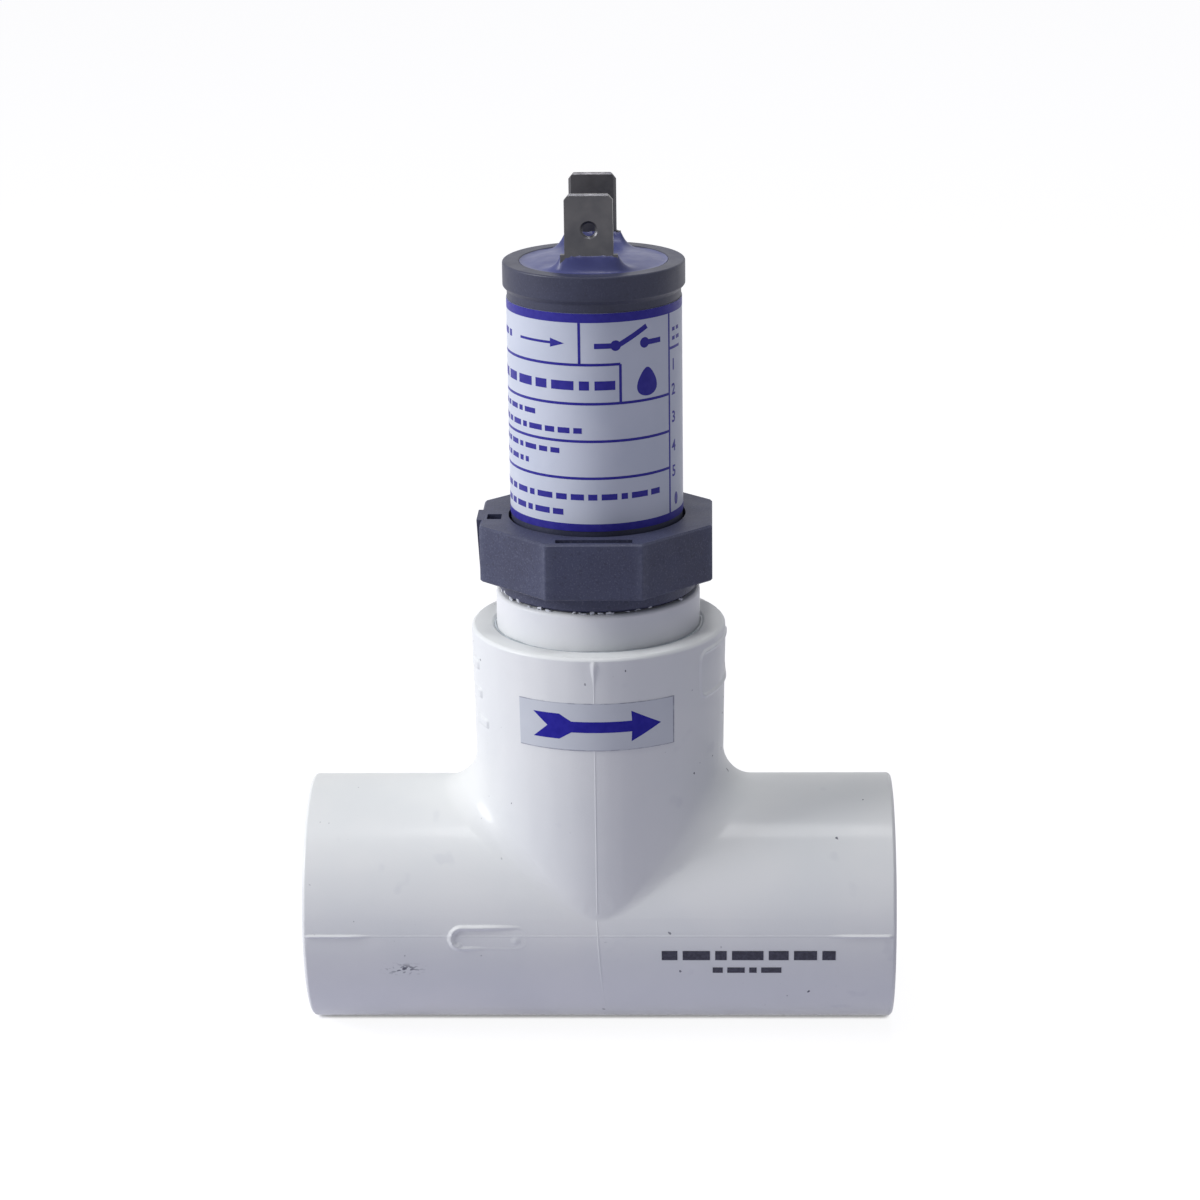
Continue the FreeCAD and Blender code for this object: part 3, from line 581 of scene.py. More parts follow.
class Finishes:
    """The finishes of this object: name, colour, the colour that it drifts to, roughness, the rest."""

    TEE = MouldedTee(
        "tee_moulding", (232, 234, 234), (227, 230, 231), 0.42,
        mottle_mm=16.0, specular=0.25, coat=0.12,
    )
    BUSHING = Finish(
        "bushing_moulding", (231, 233, 235), (225, 228, 231), 0.4, mottle_mm=12.0, specular=0.3
    )
    BODY = SlatePlastic(
        "body_moulding", (61, 65, 90), (55, 58, 82), 0.5, grain_mm=0.22, grain_depth_mm=0.012
    )
    BARREL = SlatePlastic(
        "barrel_moulding", (51, 54, 76), (44, 47, 68), 0.42,
        grain_mm=0.25, corner_mm=99.0, speckles=Patches(0.24, 2.0, 0.52, 0.72, most=0.15),
    )
    LABEL = Finish(
        "label_stock", (202, 208, 221), (196, 203, 217), 0.4,
        grain_mm=0.9, grain_depth_mm=0.003, specular=0.25,
    )
    INK = Finish("label_ink", (42, 38, 138), (50, 46, 146), 0.4, mottle_mm=0.8, specular=0.2)
    RESIN = PouredResin(
        "potting_resin", (66, 72, 124), (78, 84, 134), 0.36,
        mottle_mm=3.4, grain_mm=2.2, grain_depth_mm=0.03,
    )
    # painted reflection: the plating is coloured dark grey for the dark surroundings that it mirrors
    TAB = DrawnMetal("tab_plating", (90, 89, 92), (80, 80, 84), 0.36, metallic=0.9, mottle_mm=3.0)
    FILM = ClearFilm("sticker_film", (204, 209, 216), (200, 205, 213), 0.34, mottle_mm=6.0)
    ARROW = Finish("arrow_ink", (32, 28, 146), (40, 36, 154), 0.4, mottle_mm=0.9, specular=0.15)
    CODE = Finish("code_ink", (40, 40, 58), (60, 60, 78), 0.5, mottle_mm=0.4)
    CEMENT = Finish("dried_cement", (196, 204, 210), (172, 181, 188), 0.3, mottle_mm=1.8)
    TAPE = Finish("thread_tape", (214, 217, 224), (190, 194, 204), 0.55, mottle_mm=0.7, grain_mm=0.2)
    # painted shade: the gasket is near-black to stand for the shadowed gap between the barrel and the body
    RUBBER = Finish("gasket_painted_shade", (36, 36, 38), (44, 44, 46), 0.7, mottle_mm=1.5)
    ROCKER = Finish("rocker_moulding", (42, 44, 50), (50, 52, 58), 0.5)
    STEEL = DrawnMetal("drawn_steel", (186, 187, 190), (170, 172, 176), 0.26, metallic=1.0)
    FERRITE = Finish("ground_ferrite", (58, 58, 62), (70, 70, 74), 0.45, mottle_mm=0.6)
    BOARD = Laminate("board_laminate", (186, 158, 92), (174, 146, 82), 0.4)
    GLASS = Finish(
        "capsule_glass", (188, 222, 200), (180, 216, 194), 0.05, transmission=1.0, refraction=1.52
    )
    BLADE = DrawnMetal("reed_blade", (178, 174, 168), (168, 164, 158), 0.3, metallic=1.0)
    RED_WIRE = Finish("red_insulation", (168, 34, 34), (156, 28, 30), 0.4)
    BLACK_WIRE = Finish("black_insulation", (34, 34, 37), (42, 42, 45), 0.4)
    SOLDER = Finish("tin_solder", (196, 197, 200), (178, 180, 184), 0.28, metallic=1.0, mottle_mm=0.5)


# ---- mesh tools -------------------------------------------------------------------------------
NODE_WELD = 0.0005  # millimetres within which a CAD node's vertices are one
SPUN_WELD = 0.001  # the same, for a spun profile
RING_SLACK = 0.01  # millimetres that a vertex may be off its circle
FLAT_DEG = 0.5  # faces that meet at less than this are one flat face
TURN_STEPS = 180
ROUND_STEPS = 4


def linked(name: str, content: bpy.types.ID) -> bpy.types.Object:
    """Puts a mesh, curve, lamp or camera into the scene.

    Args:
        name: the object's name.
        content: what it holds.

    Returns:
        The object.
    """
    thing = bpy.data.objects.new(name, content)
    bpy.context.scene.collection.objects.link(thing)
    return thing


def as_mesh(name: str, bm: bmesh.types.BMesh) -> bpy.types.Mesh:
    """Turns a bmesh into a mesh and frees it.

    Args:
        name: the mesh's name.
        bm: what it is made from.

    Returns:
        The mesh.
    """
    mesh = bpy.data.meshes.new(name)
    bm.to_mesh(mesh)
    bm.free()
    return mesh


def finished(
    name: str,
    bm: bmesh.types.BMesh,
    finish: Finish,
    crease: float,
    node: Optional[str] = None,
    body: Optional[Body] = Body.HOUSING,
) -> bpy.types.Object:
    """Turns a bmesh into a smooth-shaded, dressed piece.

    Args:
        name: the piece's name.
        bm: its mesh, which is freed.
        finish: what it is made of.
        crease: the angle in degrees past which an edge stays crisp.
        node: the CAD node that it stands for, if any.
        body: the body that carries it, or None for a piece that rides on no body.

    Returns:
        The piece.
    """
    mesh = as_mesh(name, bm)
    piece = linked(name, mesh)
    mesh.polygons.foreach_set("use_smooth", [True] * len(mesh.polygons))
    mesh.set_sharp_from_angle(angle=math.radians(crease))
    weighted = piece.modifiers.new("weighted", "WEIGHTED_NORMAL")
    weighted.keep_sharp = True
    mesh.materials.append(finish.material())
    if body:
        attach(piece, body.value)
    if node:
        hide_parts(node)
    LOG.info("%s: %d faces, rides on %s", name, len(mesh.polygons), body.value if body else "two bodies")
    return piece


def dress(node: str, finish: Finish) -> None:
    """Gives a CAD node that is shown as it is its finish.

    Args:
        node: the node's name.
        finish: what it is made of.
    """
    materials = bpy.data.objects[node].data.materials
    materials.clear()
    materials.append(finish.material())
    LOG.info("%s: CAD node dressed in %s", node, finish.name)


def bevelled(
    bm: bmesh.types.BMesh, edges: list[bmesh.types.BMEdge], width: float, segments: int, clamp: bool = True
) -> None:
    """Rounds or chamfers edges.

    Args:
        bm: the mesh.
        edges: its edges to bevel.
        width: how far the bevel reaches from an edge, in millimetres.
        segments: its steps, 1 for a chamfer.
        clamp: whether it stops where it would meet another.
    """
    bmesh.ops.bevel(
        bm, geom=edges, offset=width * MM, segments=segments, profile=0.5, affect="EDGES", material=-1,
        clamp_overlap=clamp,
    )


def ring_edges(bm: bmesh.types.BMesh, radius: float, height: float) -> list[bmesh.types.BMEdge]:
    """Finds the edges of a circle about Z.

    Args:
        bm: the mesh.
        radius: the circle's radius, in metres.
        height: the circle's Z, in metres.

    Returns:
        Its edges.
    """
    slack = RING_SLACK * MM

    def lies_on(vertex: bmesh.types.BMVert) -> bool:
        """True for a vertex of the circle."""
        level = abs(vertex.co.z - height) < slack
        return level and abs(math.hypot(vertex.co.x, vertex.co.y) - radius) < slack

    return [edge for edge in bm.edges if lies_on(edge.verts[0]) and lies_on(edge.verts[1])]


def spun(corners: Sequence[Corner]) -> bmesh.types.BMesh:
    """Turns a closed profile about Z and rounds its marked corners.

    Args:
        corners: radius, height and, where it is rounded, the rounding's size, in millimetres.

    Returns:
        The closed mesh.
    """
    bm = bmesh.new()
    points = [bm.verts.new((corner[0] * MM, 0.0, corner[1] * MM)) for corner in corners]
    loop = [bm.edges.new((points[index - 1], points[index])) for index in range(len(points))]
    bmesh.ops.spin(
        bm, geom=points + loop, axis=(0, 0, 1), cent=(0, 0, 0),
        angle=math.tau, steps=TURN_STEPS, use_merge=True,
    )
    bmesh.ops.remove_doubles(bm, verts=bm.verts, dist=SPUN_WELD * MM)
    bmesh.ops.recalc_face_normals(bm, faces=bm.faces)
    rounded = [corner for corner in corners if len(corner) == 3]
    for ease in sorted({corner[2] for corner in rounded}):
        rings = []
        for radius, height, size in rounded:
            if size == ease:
                rings += ring_edges(bm, radius * MM, height * MM)
        bevelled(bm, rings, ease, ROUND_STEPS, clamp=False)
    return bm


def merged_copy(node: str) -> bmesh.types.BMesh:
    """Copies a CAD node's mesh, merges it and clears the edges inside its flat faces.

    Args:
        node: the node's name.

    Returns:
        The merged mesh.
    """
    bm = bmesh.new()
    bm.from_mesh(bpy.data.objects[node].data)
    bmesh.ops.remove_doubles(bm, verts=bm.verts, dist=NODE_WELD * MM)
    bmesh.ops.dissolve_limit(bm, angle_limit=math.radians(FLAT_DEG), verts=bm.verts, edges=bm.edges)
    return bm


def ease_edges(bm: bmesh.types.BMesh, width: float, segments: int, sharper_than: float = 30.0) -> None:
    """Rounds every edge that is sharper than an angle.

    Args:
        bm: the mesh.
        width: how far the rounding reaches from the edge, in millimetres.
        segments: steps in the rounding.
        sharper_than: the angle in degrees between the edge's two faces.
    """
    limit = math.radians(sharper_than)
    sharp = [edge for edge in bm.edges if len(edge.link_faces) == 2 and edge.calc_face_angle(0.0) > limit]
    bevelled(bm, sharp, width, segments)
    bmesh.ops.dissolve_degenerate(bm, edges=bm.edges, dist=NODE_WELD * MM)


@dataclass(frozen=True)
class Moulding:
    """A moulded piece: its CAD node's shape with the edges rounded."""

    name: str
    node: str
    finish: Finish
    slot: str
    edge_round: float
    round_steps: int
    crease: float
    body: Body = Body.HOUSING

    def build(self) -> None:
        """Makes the piece, which stands for its node."""
        bm = merged_copy(self.node)
        ease_edges(bm, self.edge_round, self.round_steps)
        finished(self.name, bm, self.finish, self.crease, self.node, self.body)


@dataclass(frozen=True)
class Drum:
    """Upright drum, straight or tapered, that flat art is bent round; its front is at -Y."""

    radius: float
    slope: float = 0.0
    slope_from: float = 0.0

    def radius_at(self, height: float) -> float:
        """Radius in millimetres at a height in millimetres."""
        return self.radius + self.slope * (height - self.slope_from)

    def lay(self, bm: bmesh.types.BMesh) -> None:
        """Bends a flat mesh round the drum: X becomes arc, and -Y stands proud.

        Args:
            bm: the flat mesh, in metres.
        """
        for vertex in bm.verts:
            base = self.radius_at(vertex.co.z / MM) * MM
            angle = vertex.co.x / base
            reach = base - vertex.co.y
            vertex.co.x = reach * math.sin(angle)
            vertex.co.y = -reach * math.cos(angle)


@dataclass(frozen=True)
class Pipe:
    """Level pipe along X that flat art is bent round; its front is at -Y."""

    radius: float
    axis_height: float

    def lay(self, bm: bmesh.types.BMesh) -> None:
        """Bends a flat mesh round the pipe: Z becomes arc about the axis, and -Y stands proud.

        Args:
            bm: the flat mesh, in metres, with the axis at Z 0.
        """
        for vertex in bm.verts:
            angle = vertex.co.z / (self.radius * MM)
            reach = self.radius * MM - vertex.co.y
            vertex.co.y = -reach * math.cos(angle)
            vertex.co.z = self.axis_height * MM + reach * math.sin(angle)


Wall = Union[Drum, Pipe]


@dataclass
class InkSheet:
    """Flat art of thin ink, drawn as outlines and then bent round a wall.

    Heights are counted from foot, and lift is the gap between the ink's back and the wall.
    """

    wall: Wall
    foot: float = 0.0
    thickness: float = 0.015
    lift: float = 0.0
    crease: float = 32.0
    strip: float = 0.7
    cut_slack: float = 0.001
    weld: float = 0.002
    bolder: float = 0.045
    letter_scale: float = 1.4
    word_shares: tuple[float, ...] = (1.5, 2.6, 1.1, 3.0, 1.9, 2.2)
    last_share: float = 0.3
    bm: bmesh.types.BMesh = field(default_factory=bmesh.new)

    def on_sheet(self, arc: float, height: float) -> Vector:
        """Place on the flat sheet, in metres."""
        return Vector((arc * MM, -self.lift * MM, (self.foot + height) * MM))

    def shape(self, corners: Outline) -> None:
        """Adds a filled outline of (arc, height) points, counter-clockwise from outside."""
        self.bm.faces.new([self.bm.verts.new(self.on_sheet(arc, height)) for arc, height in corners])

    def bar(self, left: float, right: float, bottom: float, top: float) -> None:
        """Adds an upright rectangle."""
        self.shape([(left, bottom), (right, bottom), (right, top), (left, top)])

    def disc(self, arc: float, height: float, radius: float, tall: float = 1.0, sides: int = 20) -> None:
        """Adds a filled circle or oval.

        Args:
            arc: its centre's arc.
            height: its centre's height.
            radius: its half width.
            tall: its height over its width.
            sides: how many sides it has.
        """
        turns = [math.tau * index / sides for index in range(sides)]
        self.shape([(arc + radius * math.cos(t), height + radius * tall * math.sin(t)) for t in turns])

    def words(self, left: float, right: float, bottom: float, top: float, gap: float) -> None:
        """Adds a row of blank bars, as long and uneven as words.

        Args:
            left: where the row starts.
            right: where it ends.
            bottom: its foot.
            top: its top.
            gap: between two bars.
        """
        start = left
        index = 0
        tall = top - bottom
        while start < right - self.last_share * tall:
            end = min(start + self.word_shares[index % len(self.word_shares)] * tall, right)
            self.bar(start, end, bottom, top)
            start = end + gap
            index += 1

    def digit(self, text: str, arc: float, height: float, tall: float) -> None:
        """Adds a plain number.

        Args:
            text: the number.
            arc: its centre's arc.
            height: its centre's height.
            tall: its height.
        """
        curve = bpy.data.curves.new("number", "FONT")
        curve.body = text
        curve.size = tall * self.letter_scale * MM
        curve.align_x = "CENTER"
        curve.align_y = "CENTER"
        curve.resolution_u = 3
        curve.offset = self.bolder * MM
        drawn = linked("number", curve)
        mesh = bpy.data.meshes.new_from_object(drawn.evaluated_get(bpy.context.evaluated_depsgraph_get()))
        upright = Matrix.Rotation(math.pi / 2.0, 4, "X")
        mesh.transform(Matrix.Translation(self.on_sheet(arc, height)) @ upright)
        self.bm.from_mesh(mesh)
        bpy.data.objects.remove(drawn)
        bpy.data.curves.remove(curve)
        bpy.data.meshes.remove(mesh)

    def printed(self, name: str, finish: Finish, slot: str) -> None:
        """Cuts the art into narrow strips, thickens it and bends it round its wall.

        Args:
            name: the piece's name.
            finish: the ink.
            slot: not used.
        """
        bm = self.bm
        reach = int(math.pi * self.wall.radius / self.strip)
        for index in range(-reach, reach + 1):
            bmesh.ops.bisect_plane(
                bm, geom=bm.verts[:] + bm.edges[:] + bm.faces[:], dist=self.cut_slack * MM,
                plane_co=(index * self.strip * MM, 0, 0), plane_no=(1, 0, 0),
            )
        bmesh.ops.remove_doubles(bm, verts=bm.verts, dist=self.weld * MM)
        bmesh.ops.dissolve_degenerate(bm, edges=bm.edges, dist=self.weld * MM)
        for face in bm.faces:
            if face.normal.y > 0.0:
                face.normal_flip()
        top = bmesh.ops.extrude_face_region(bm, geom=bm.faces[:])
        raised = [item for item in top["geom"] if isinstance(item, bmesh.types.BMVert)]
        bmesh.ops.translate(bm, verts=raised, vec=(0.0, -self.thickness * MM, 0.0))
        self.wall.lay(bm)
        bmesh.ops.recalc_face_normals(bm, faces=bm.faces)
        finished(name, bm, finish, self.crease)


# ---- relief of the mould ----------------------------------------------------------------------
def swell(away: float, half: float) -> float:
    """Gives 1 on a line and falls smoothly to nearly nothing at twice half a width from it."""
    return math.exp(-((away / half) ** 2))


def ramp(value: float, start: float, end: float) -> float:
    """Rises smoothly from 0 at start to 1 at end."""
    share = min(max((value - start) / (end - start), 0.0), 1.0)
    return share * share * (3.0 - 2.0 * share)


class RoundBox(NamedTuple):
    """Box with round corners on a wall: its middle, half its width and height, its corners' radius."""

    across: float
    upward: float
    half_wide: float
    half_tall: float
    corner: float

    def away(self, across: float, upward: float) -> float:
        """Distance of a point from the box's outline, less than 0 inside it.

        Args:
            across: the point's place along the wall.
            upward: the same, in height.

        Returns:
            The distance.
        """
        past_x = abs(across - self.across) - self.half_wide + self.corner
        past_z = abs(upward - self.upward) - self.half_tall + self.corner
        inside = min(max(past_x, past_z), 0.0)
        return math.hypot(max(past_x, 0.0), max(past_z, 0.0)) + inside - self.corner


class Nub(NamedTuple):
    """Small round bump: its place from a mark's middle, its height and half its width."""

    across: float
    upward: float
    height: float
    half: float


@dataclass(frozen=True)
class Relief:
    """Low relief on the tee's wall: a thin sheet that shows only where it stands out of the wall."""

    wall: Wall
    height: Callable[[float, float], float]
    sink: float = 0.03
    depth: float = 0.4
    crease: float = 50.0

    def raised(self, name: str, across: Span, upward: Span, cell: Span, behind: bool = False) -> None:
        """Makes the sheet, raises it and bends it round its wall.

        Args:
            name: the piece's name.
            across: where it starts and ends along X or round the drum.
            upward: where it starts and ends in height.
            cell: the width and height of its cells.
            behind: whether it goes to the back.
        """
        wide, tall = across[1] - across[0], upward[1] - upward[0]
        bm = bmesh.new()
        bmesh.ops.create_grid(
            bm, x_segments=round(wide / cell[0]), y_segments=round(tall / cell[1]), size=0.5
        )
        for vertex in bm.verts:
            arc = across[0] + wide * (vertex.co.x + 0.5)
            height = upward[0] + tall * (vertex.co.y + 0.5)
            out = self.height(arc, height) - self.sink
            vertex.co = Vector((arc, -out, height)) * MM
        shell = bmesh.ops.extrude_face_region(bm, geom=bm.faces[:])
        for item in shell["geom"]:
            if isinstance(item, bmesh.types.BMVert):
                item.co.y = self.depth * MM
        self.wall.lay(bm)
        if behind:
            bmesh.ops.rotate(bm, verts=bm.verts, cent=(0, 0, 0), matrix=Matrix.Rotation(math.pi, 3, "Z"))
        bmesh.ops.recalc_face_normals(bm, faces=bm.faces)
        finished(name, bm, Finishes.TEE, self.crease)


@dataclass
class MouldMarks:
    """Marks that the mould left on the tee: flash line, gate scar, parting lines, panel and bars.

    Heights on the run are arcs above its axis, and heights on the branch's side marks are counted
    down from its rim.
    """

    run: Pipe
    branch: Drum
    rim: float
    half_long: float
    flash_middle: float = 0.6
    flash_half: float = 0.2
    flash_height: float = 0.05
    flash_end_height: float = 0.17
    flash_end: Span = (30.0, 33.5)
    flash_fade: Span = (0.9, 0.4)
    gate: RoundBox = RoundBox(-14.65, 0.3, 5.1, 1.5, 1.5)
    gate_lip: float = 0.04
    gate_high_lip: float = 0.27
    gate_lip_half: float = 0.3
    gate_lean: Span = (-0.55, 0.9)
    gate_lean_reach: Span = (-1.6, 2.4)
    gate_nubs: tuple[Nub, ...] = (Nub(-4.2, -1.2, 0.22, 0.5), Nub(3.6, -0.3, 0.1, 0.6))
    seam_arc: float = -0.12
    seam_half: float = 0.14
    seam_height: float = 0.065
    seam_top: Span = (0.35, 0.8)
    sprue_half: float = 0.45
    sprue_height: float = 0.22
    sprue_long: float = 3.6
    run_seam_x: float = -0.05
    run_seam_lean: float = -0.055
    panel: RoundBox = RoundBox(22.6, 4.7, 6.5, 3.1, 1.2)
    panel_line: float = 0.26
    panel_height: float = 0.28
    bars: tuple[RoundBox, ...] = (
        RoundBox(-21.6, 4.4, 1.5, 0.65, 0.3),
        RoundBox(-20.9, 8.2, 1.6, 0.65, 0.3),
        RoundBox(-19.4, 12.0, 1.9, 0.65, 0.3),
    )
    bar_slope: Span = (-0.1, 0.2)
    bar_height: float = 0.26

    def build(self) -> None:
        """Raises every mark."""
        self.make_run_marks()
        self.make_seams()
        self.make_side_marks()

    def flash_line(self, x: float, height: float) -> float:
        """Height of the flash line along the run, proud near both ends.

        Args:
            x: the place along the run.
            height: the arc above the run's axis.

        Returns:
            How far it stands out.
        """
        fade_start, fade_end = (self.half_long - gap for gap in self.flash_fade)
        tall = self.flash_height + self.flash_end_height * ramp(abs(x), *self.flash_end)
        tall *= 1.0 - ramp(abs(x), fade_start, fade_end)
        return tall * swell(height - self.flash_middle, self.flash_half)

    def gate_scar(self, x: float, height: float) -> float:
        """Height of the trimmed gate's scar: an oval lip, high at its upper left, and two nubs.

        Args:
            x: the place along the run.
            height: the arc above the run's axis.

        Returns:
            How far it stands out.
        """
        across, upward = x - self.gate.across, height - self.gate.upward
        lean = ramp(self.gate_lean[1] * upward + self.gate_lean[0] * across, *self.gate_lean_reach)
        lip = self.gate_lip + self.gate_high_lip * lean
        lip *= swell(self.gate.away(x, height), self.gate_lip_half)
        nubs = 0.0
        for nub in self.gate_nubs:
            nubs += nub.height * swell(math.hypot(across - nub.across, upward - nub.upward), nub.half)
        return max(lip, nubs)

    def front_marks(self, x: float, height: float) -> float:
        """The flash line, or the gate's scar where it stands higher."""
        return max(self.flash_line(x, height), self.gate_scar(x, height))

    def branch_seam(self, arc: float, height: float) -> float:
        """Height of the parting line up the branch, with the thick foot of a trimmed sprue under the rim.

        Args:
            arc: the place round the branch from its front.
            height: the place in height.

        Returns:
            How far it stands out.
        """
        below = self.rim - height
        share = max(1.0 - below / self.sprue_long, 0.0)
        tall = self.seam_height + self.sprue_height * share
        half = self.seam_half + (self.sprue_half - self.seam_half) * share
        return tall * swell(arc - self.seam_arc, half) * ramp(below, *self.seam_top)

    def run_seam(self, x: float, height: float) -> float:
        """Height of the parting line where it runs down over the run and wanders a little."""
        return self.seam_height * swell(x - self.run_seam_x - self.run_seam_lean * height, self.seam_half)

    def panel_frame(self, arc: float, height: float) -> float:
        """Height of the panel's thin frame."""
        return self.panel_height * swell(self.panel.away(arc, self.rim - height), self.panel_line)

    def side_bars(self, arc: float, height: float) -> float:
        """Height of the flat bars, one under another."""
        inside = [-bar.away(arc, self.rim - height) for bar in self.bars]
        return max(self.bar_height * ramp(depth, *self.bar_slope) for depth in inside)

    def make_run_marks(self) -> None:
        """Raises the flash line on both sides of the run, and the gate's scar on its front."""
        reach = self.half_long - 0.35
        Relief(self.run, self.front_marks).raised(
            "run_marks_front", across=(-reach, reach), upward=(-2.4, 2.9), cell=(0.26, 0.1)
        )
        Relief(self.run, self.flash_line).raised(
            "run_marks_rear", across=(-reach, reach), upward=(-0.3, 1.5), cell=(0.6, 0.1), behind=True
        )

    def make_seams(self) -> None:
        """Raises the parting line at the front and at the back."""
        cell = (0.1, 0.5)
        for name, behind in (("front", False), ("rear", True)):
            Relief(self.branch, self.branch_seam).raised(
                "branch_seam_" + name,
                across=(-1.3, 1.1), upward=(20.4, self.rim - 0.4), cell=cell, behind=behind,
            )
            Relief(self.run, self.run_seam).raised(
                "run_seam_" + name, across=(-1.2, 1.6), upward=(-13.5, 3.3), cell=cell, behind=behind
            )

    def make_side_marks(self) -> None:
        """Raises a plain framed panel on the branch's right and plain bars on its left."""
        cell = (0.16, 0.16)
        Relief(self.branch, self.panel_frame).raised(
            "panel_frame", across=(15.4, 29.8), upward=(self.rim - 8.5, self.rim - 0.9), cell=cell
        )
        Relief(self.branch, self.side_bars).raised(
            "moulded_bars", across=(-23.7, -16.9), upward=(self.rim - 13.2, self.rim - 3.2), cell=cell
        )


# ---- tee and bushing --------------------------------------------------------------------------
@dataclass
class FlowSticker:
    """Clear film on the branch, with an arrow that points along the flow."""

    branch_slope: float
    ink: float = 0.012
    tail: float = -8.55
    notch: float = -6.5
    fletch: float = -4.85
    shoulder: float = -3.2
    neck: float = 4.85
    barb: float = 4.75
    tip: float = 8.95
    half_shaft: float = 0.75
    half_tail: float = 1.75
    half_head: float = 2.125

    def build(self) -> None:
        """Dresses the film and prints the arrow on it."""
        dress("flow_arrow_sticker", Finishes.FILM)
        low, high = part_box("flow_arrow_sticker")
        drum = Drum(-low.y / MM, self.branch_slope, high.z / MM)
        sheet = InkSheet(drum, (low.z + high.z) / 2.0 / MM, self.ink)
        lower_half = [
            (self.tail, -self.half_tail),
            (self.fletch, -self.half_tail),
            (self.shoulder, -self.half_shaft),
            (self.neck, -self.half_shaft),
            (self.barb, -self.half_head),
        ]
        upper_half = [(arc, -height) for arc, height in reversed(lower_half)]
        sheet.shape([*lower_half, (self.tip, 0.0), *upper_half, (self.notch, 0.0)])
        sheet.printed("flow_arrow", Finishes.ARROW, "clear_film")


@dataclass
class TeeFitting:
    """White slip tee, the marks that its mould left, the flow arrow's sticker and the code on its run."""

    edge_round: float = 0.16
    crease: float = 24.0
    run_radius: float = 16.67
    rim_radius: float = 17.07
    draft_deg: float = 0.99
    code_ink: float = 0.012
    code_lift: float = 0.02

    def build(self) -> None:
        """Makes the tee and what is on it."""
        low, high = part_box("tee_body")
        rim = high.z / MM
        run = Pipe(self.run_radius, low.z / MM + self.run_radius)
        branch = Drum(self.rim_radius, math.tan(math.radians(self.draft_deg)), rim)
        Moulding(
            "tee_moulded", "tee_body", Finishes.TEE, "pvc_white",
            self.edge_round, round_steps=2, crease=self.crease,
        ).build()
        MouldMarks(run, branch, rim, high.x / MM).build()
        FlowSticker(branch.slope).build()
        self.print_code(run)

    def print_code(self, run: Pipe) -> None:
        """Prints two rows of blank bars, where such fittings carry an ink-jet code.

        Args:
            run: the wall that they are on.
        """
        sheet = InkSheet(run, thickness=self.code_ink, lift=self.code_lift)
        sheet.words(left=8.4, right=31.6, bottom=-2.9, top=-1.5, gap=0.7)
        sheet.words(left=15.2, right=24.6, bottom=-5.0, top=-4.1, gap=0.6)
        sheet.printed("code_bars", Finishes.CODE, "pvc_white")


class Shred(NamedTuple):
    """Shred of tape: its place round the thread in degrees, its length, height and rise."""

    turn: float
    long: float
    tall: float
    rise: float


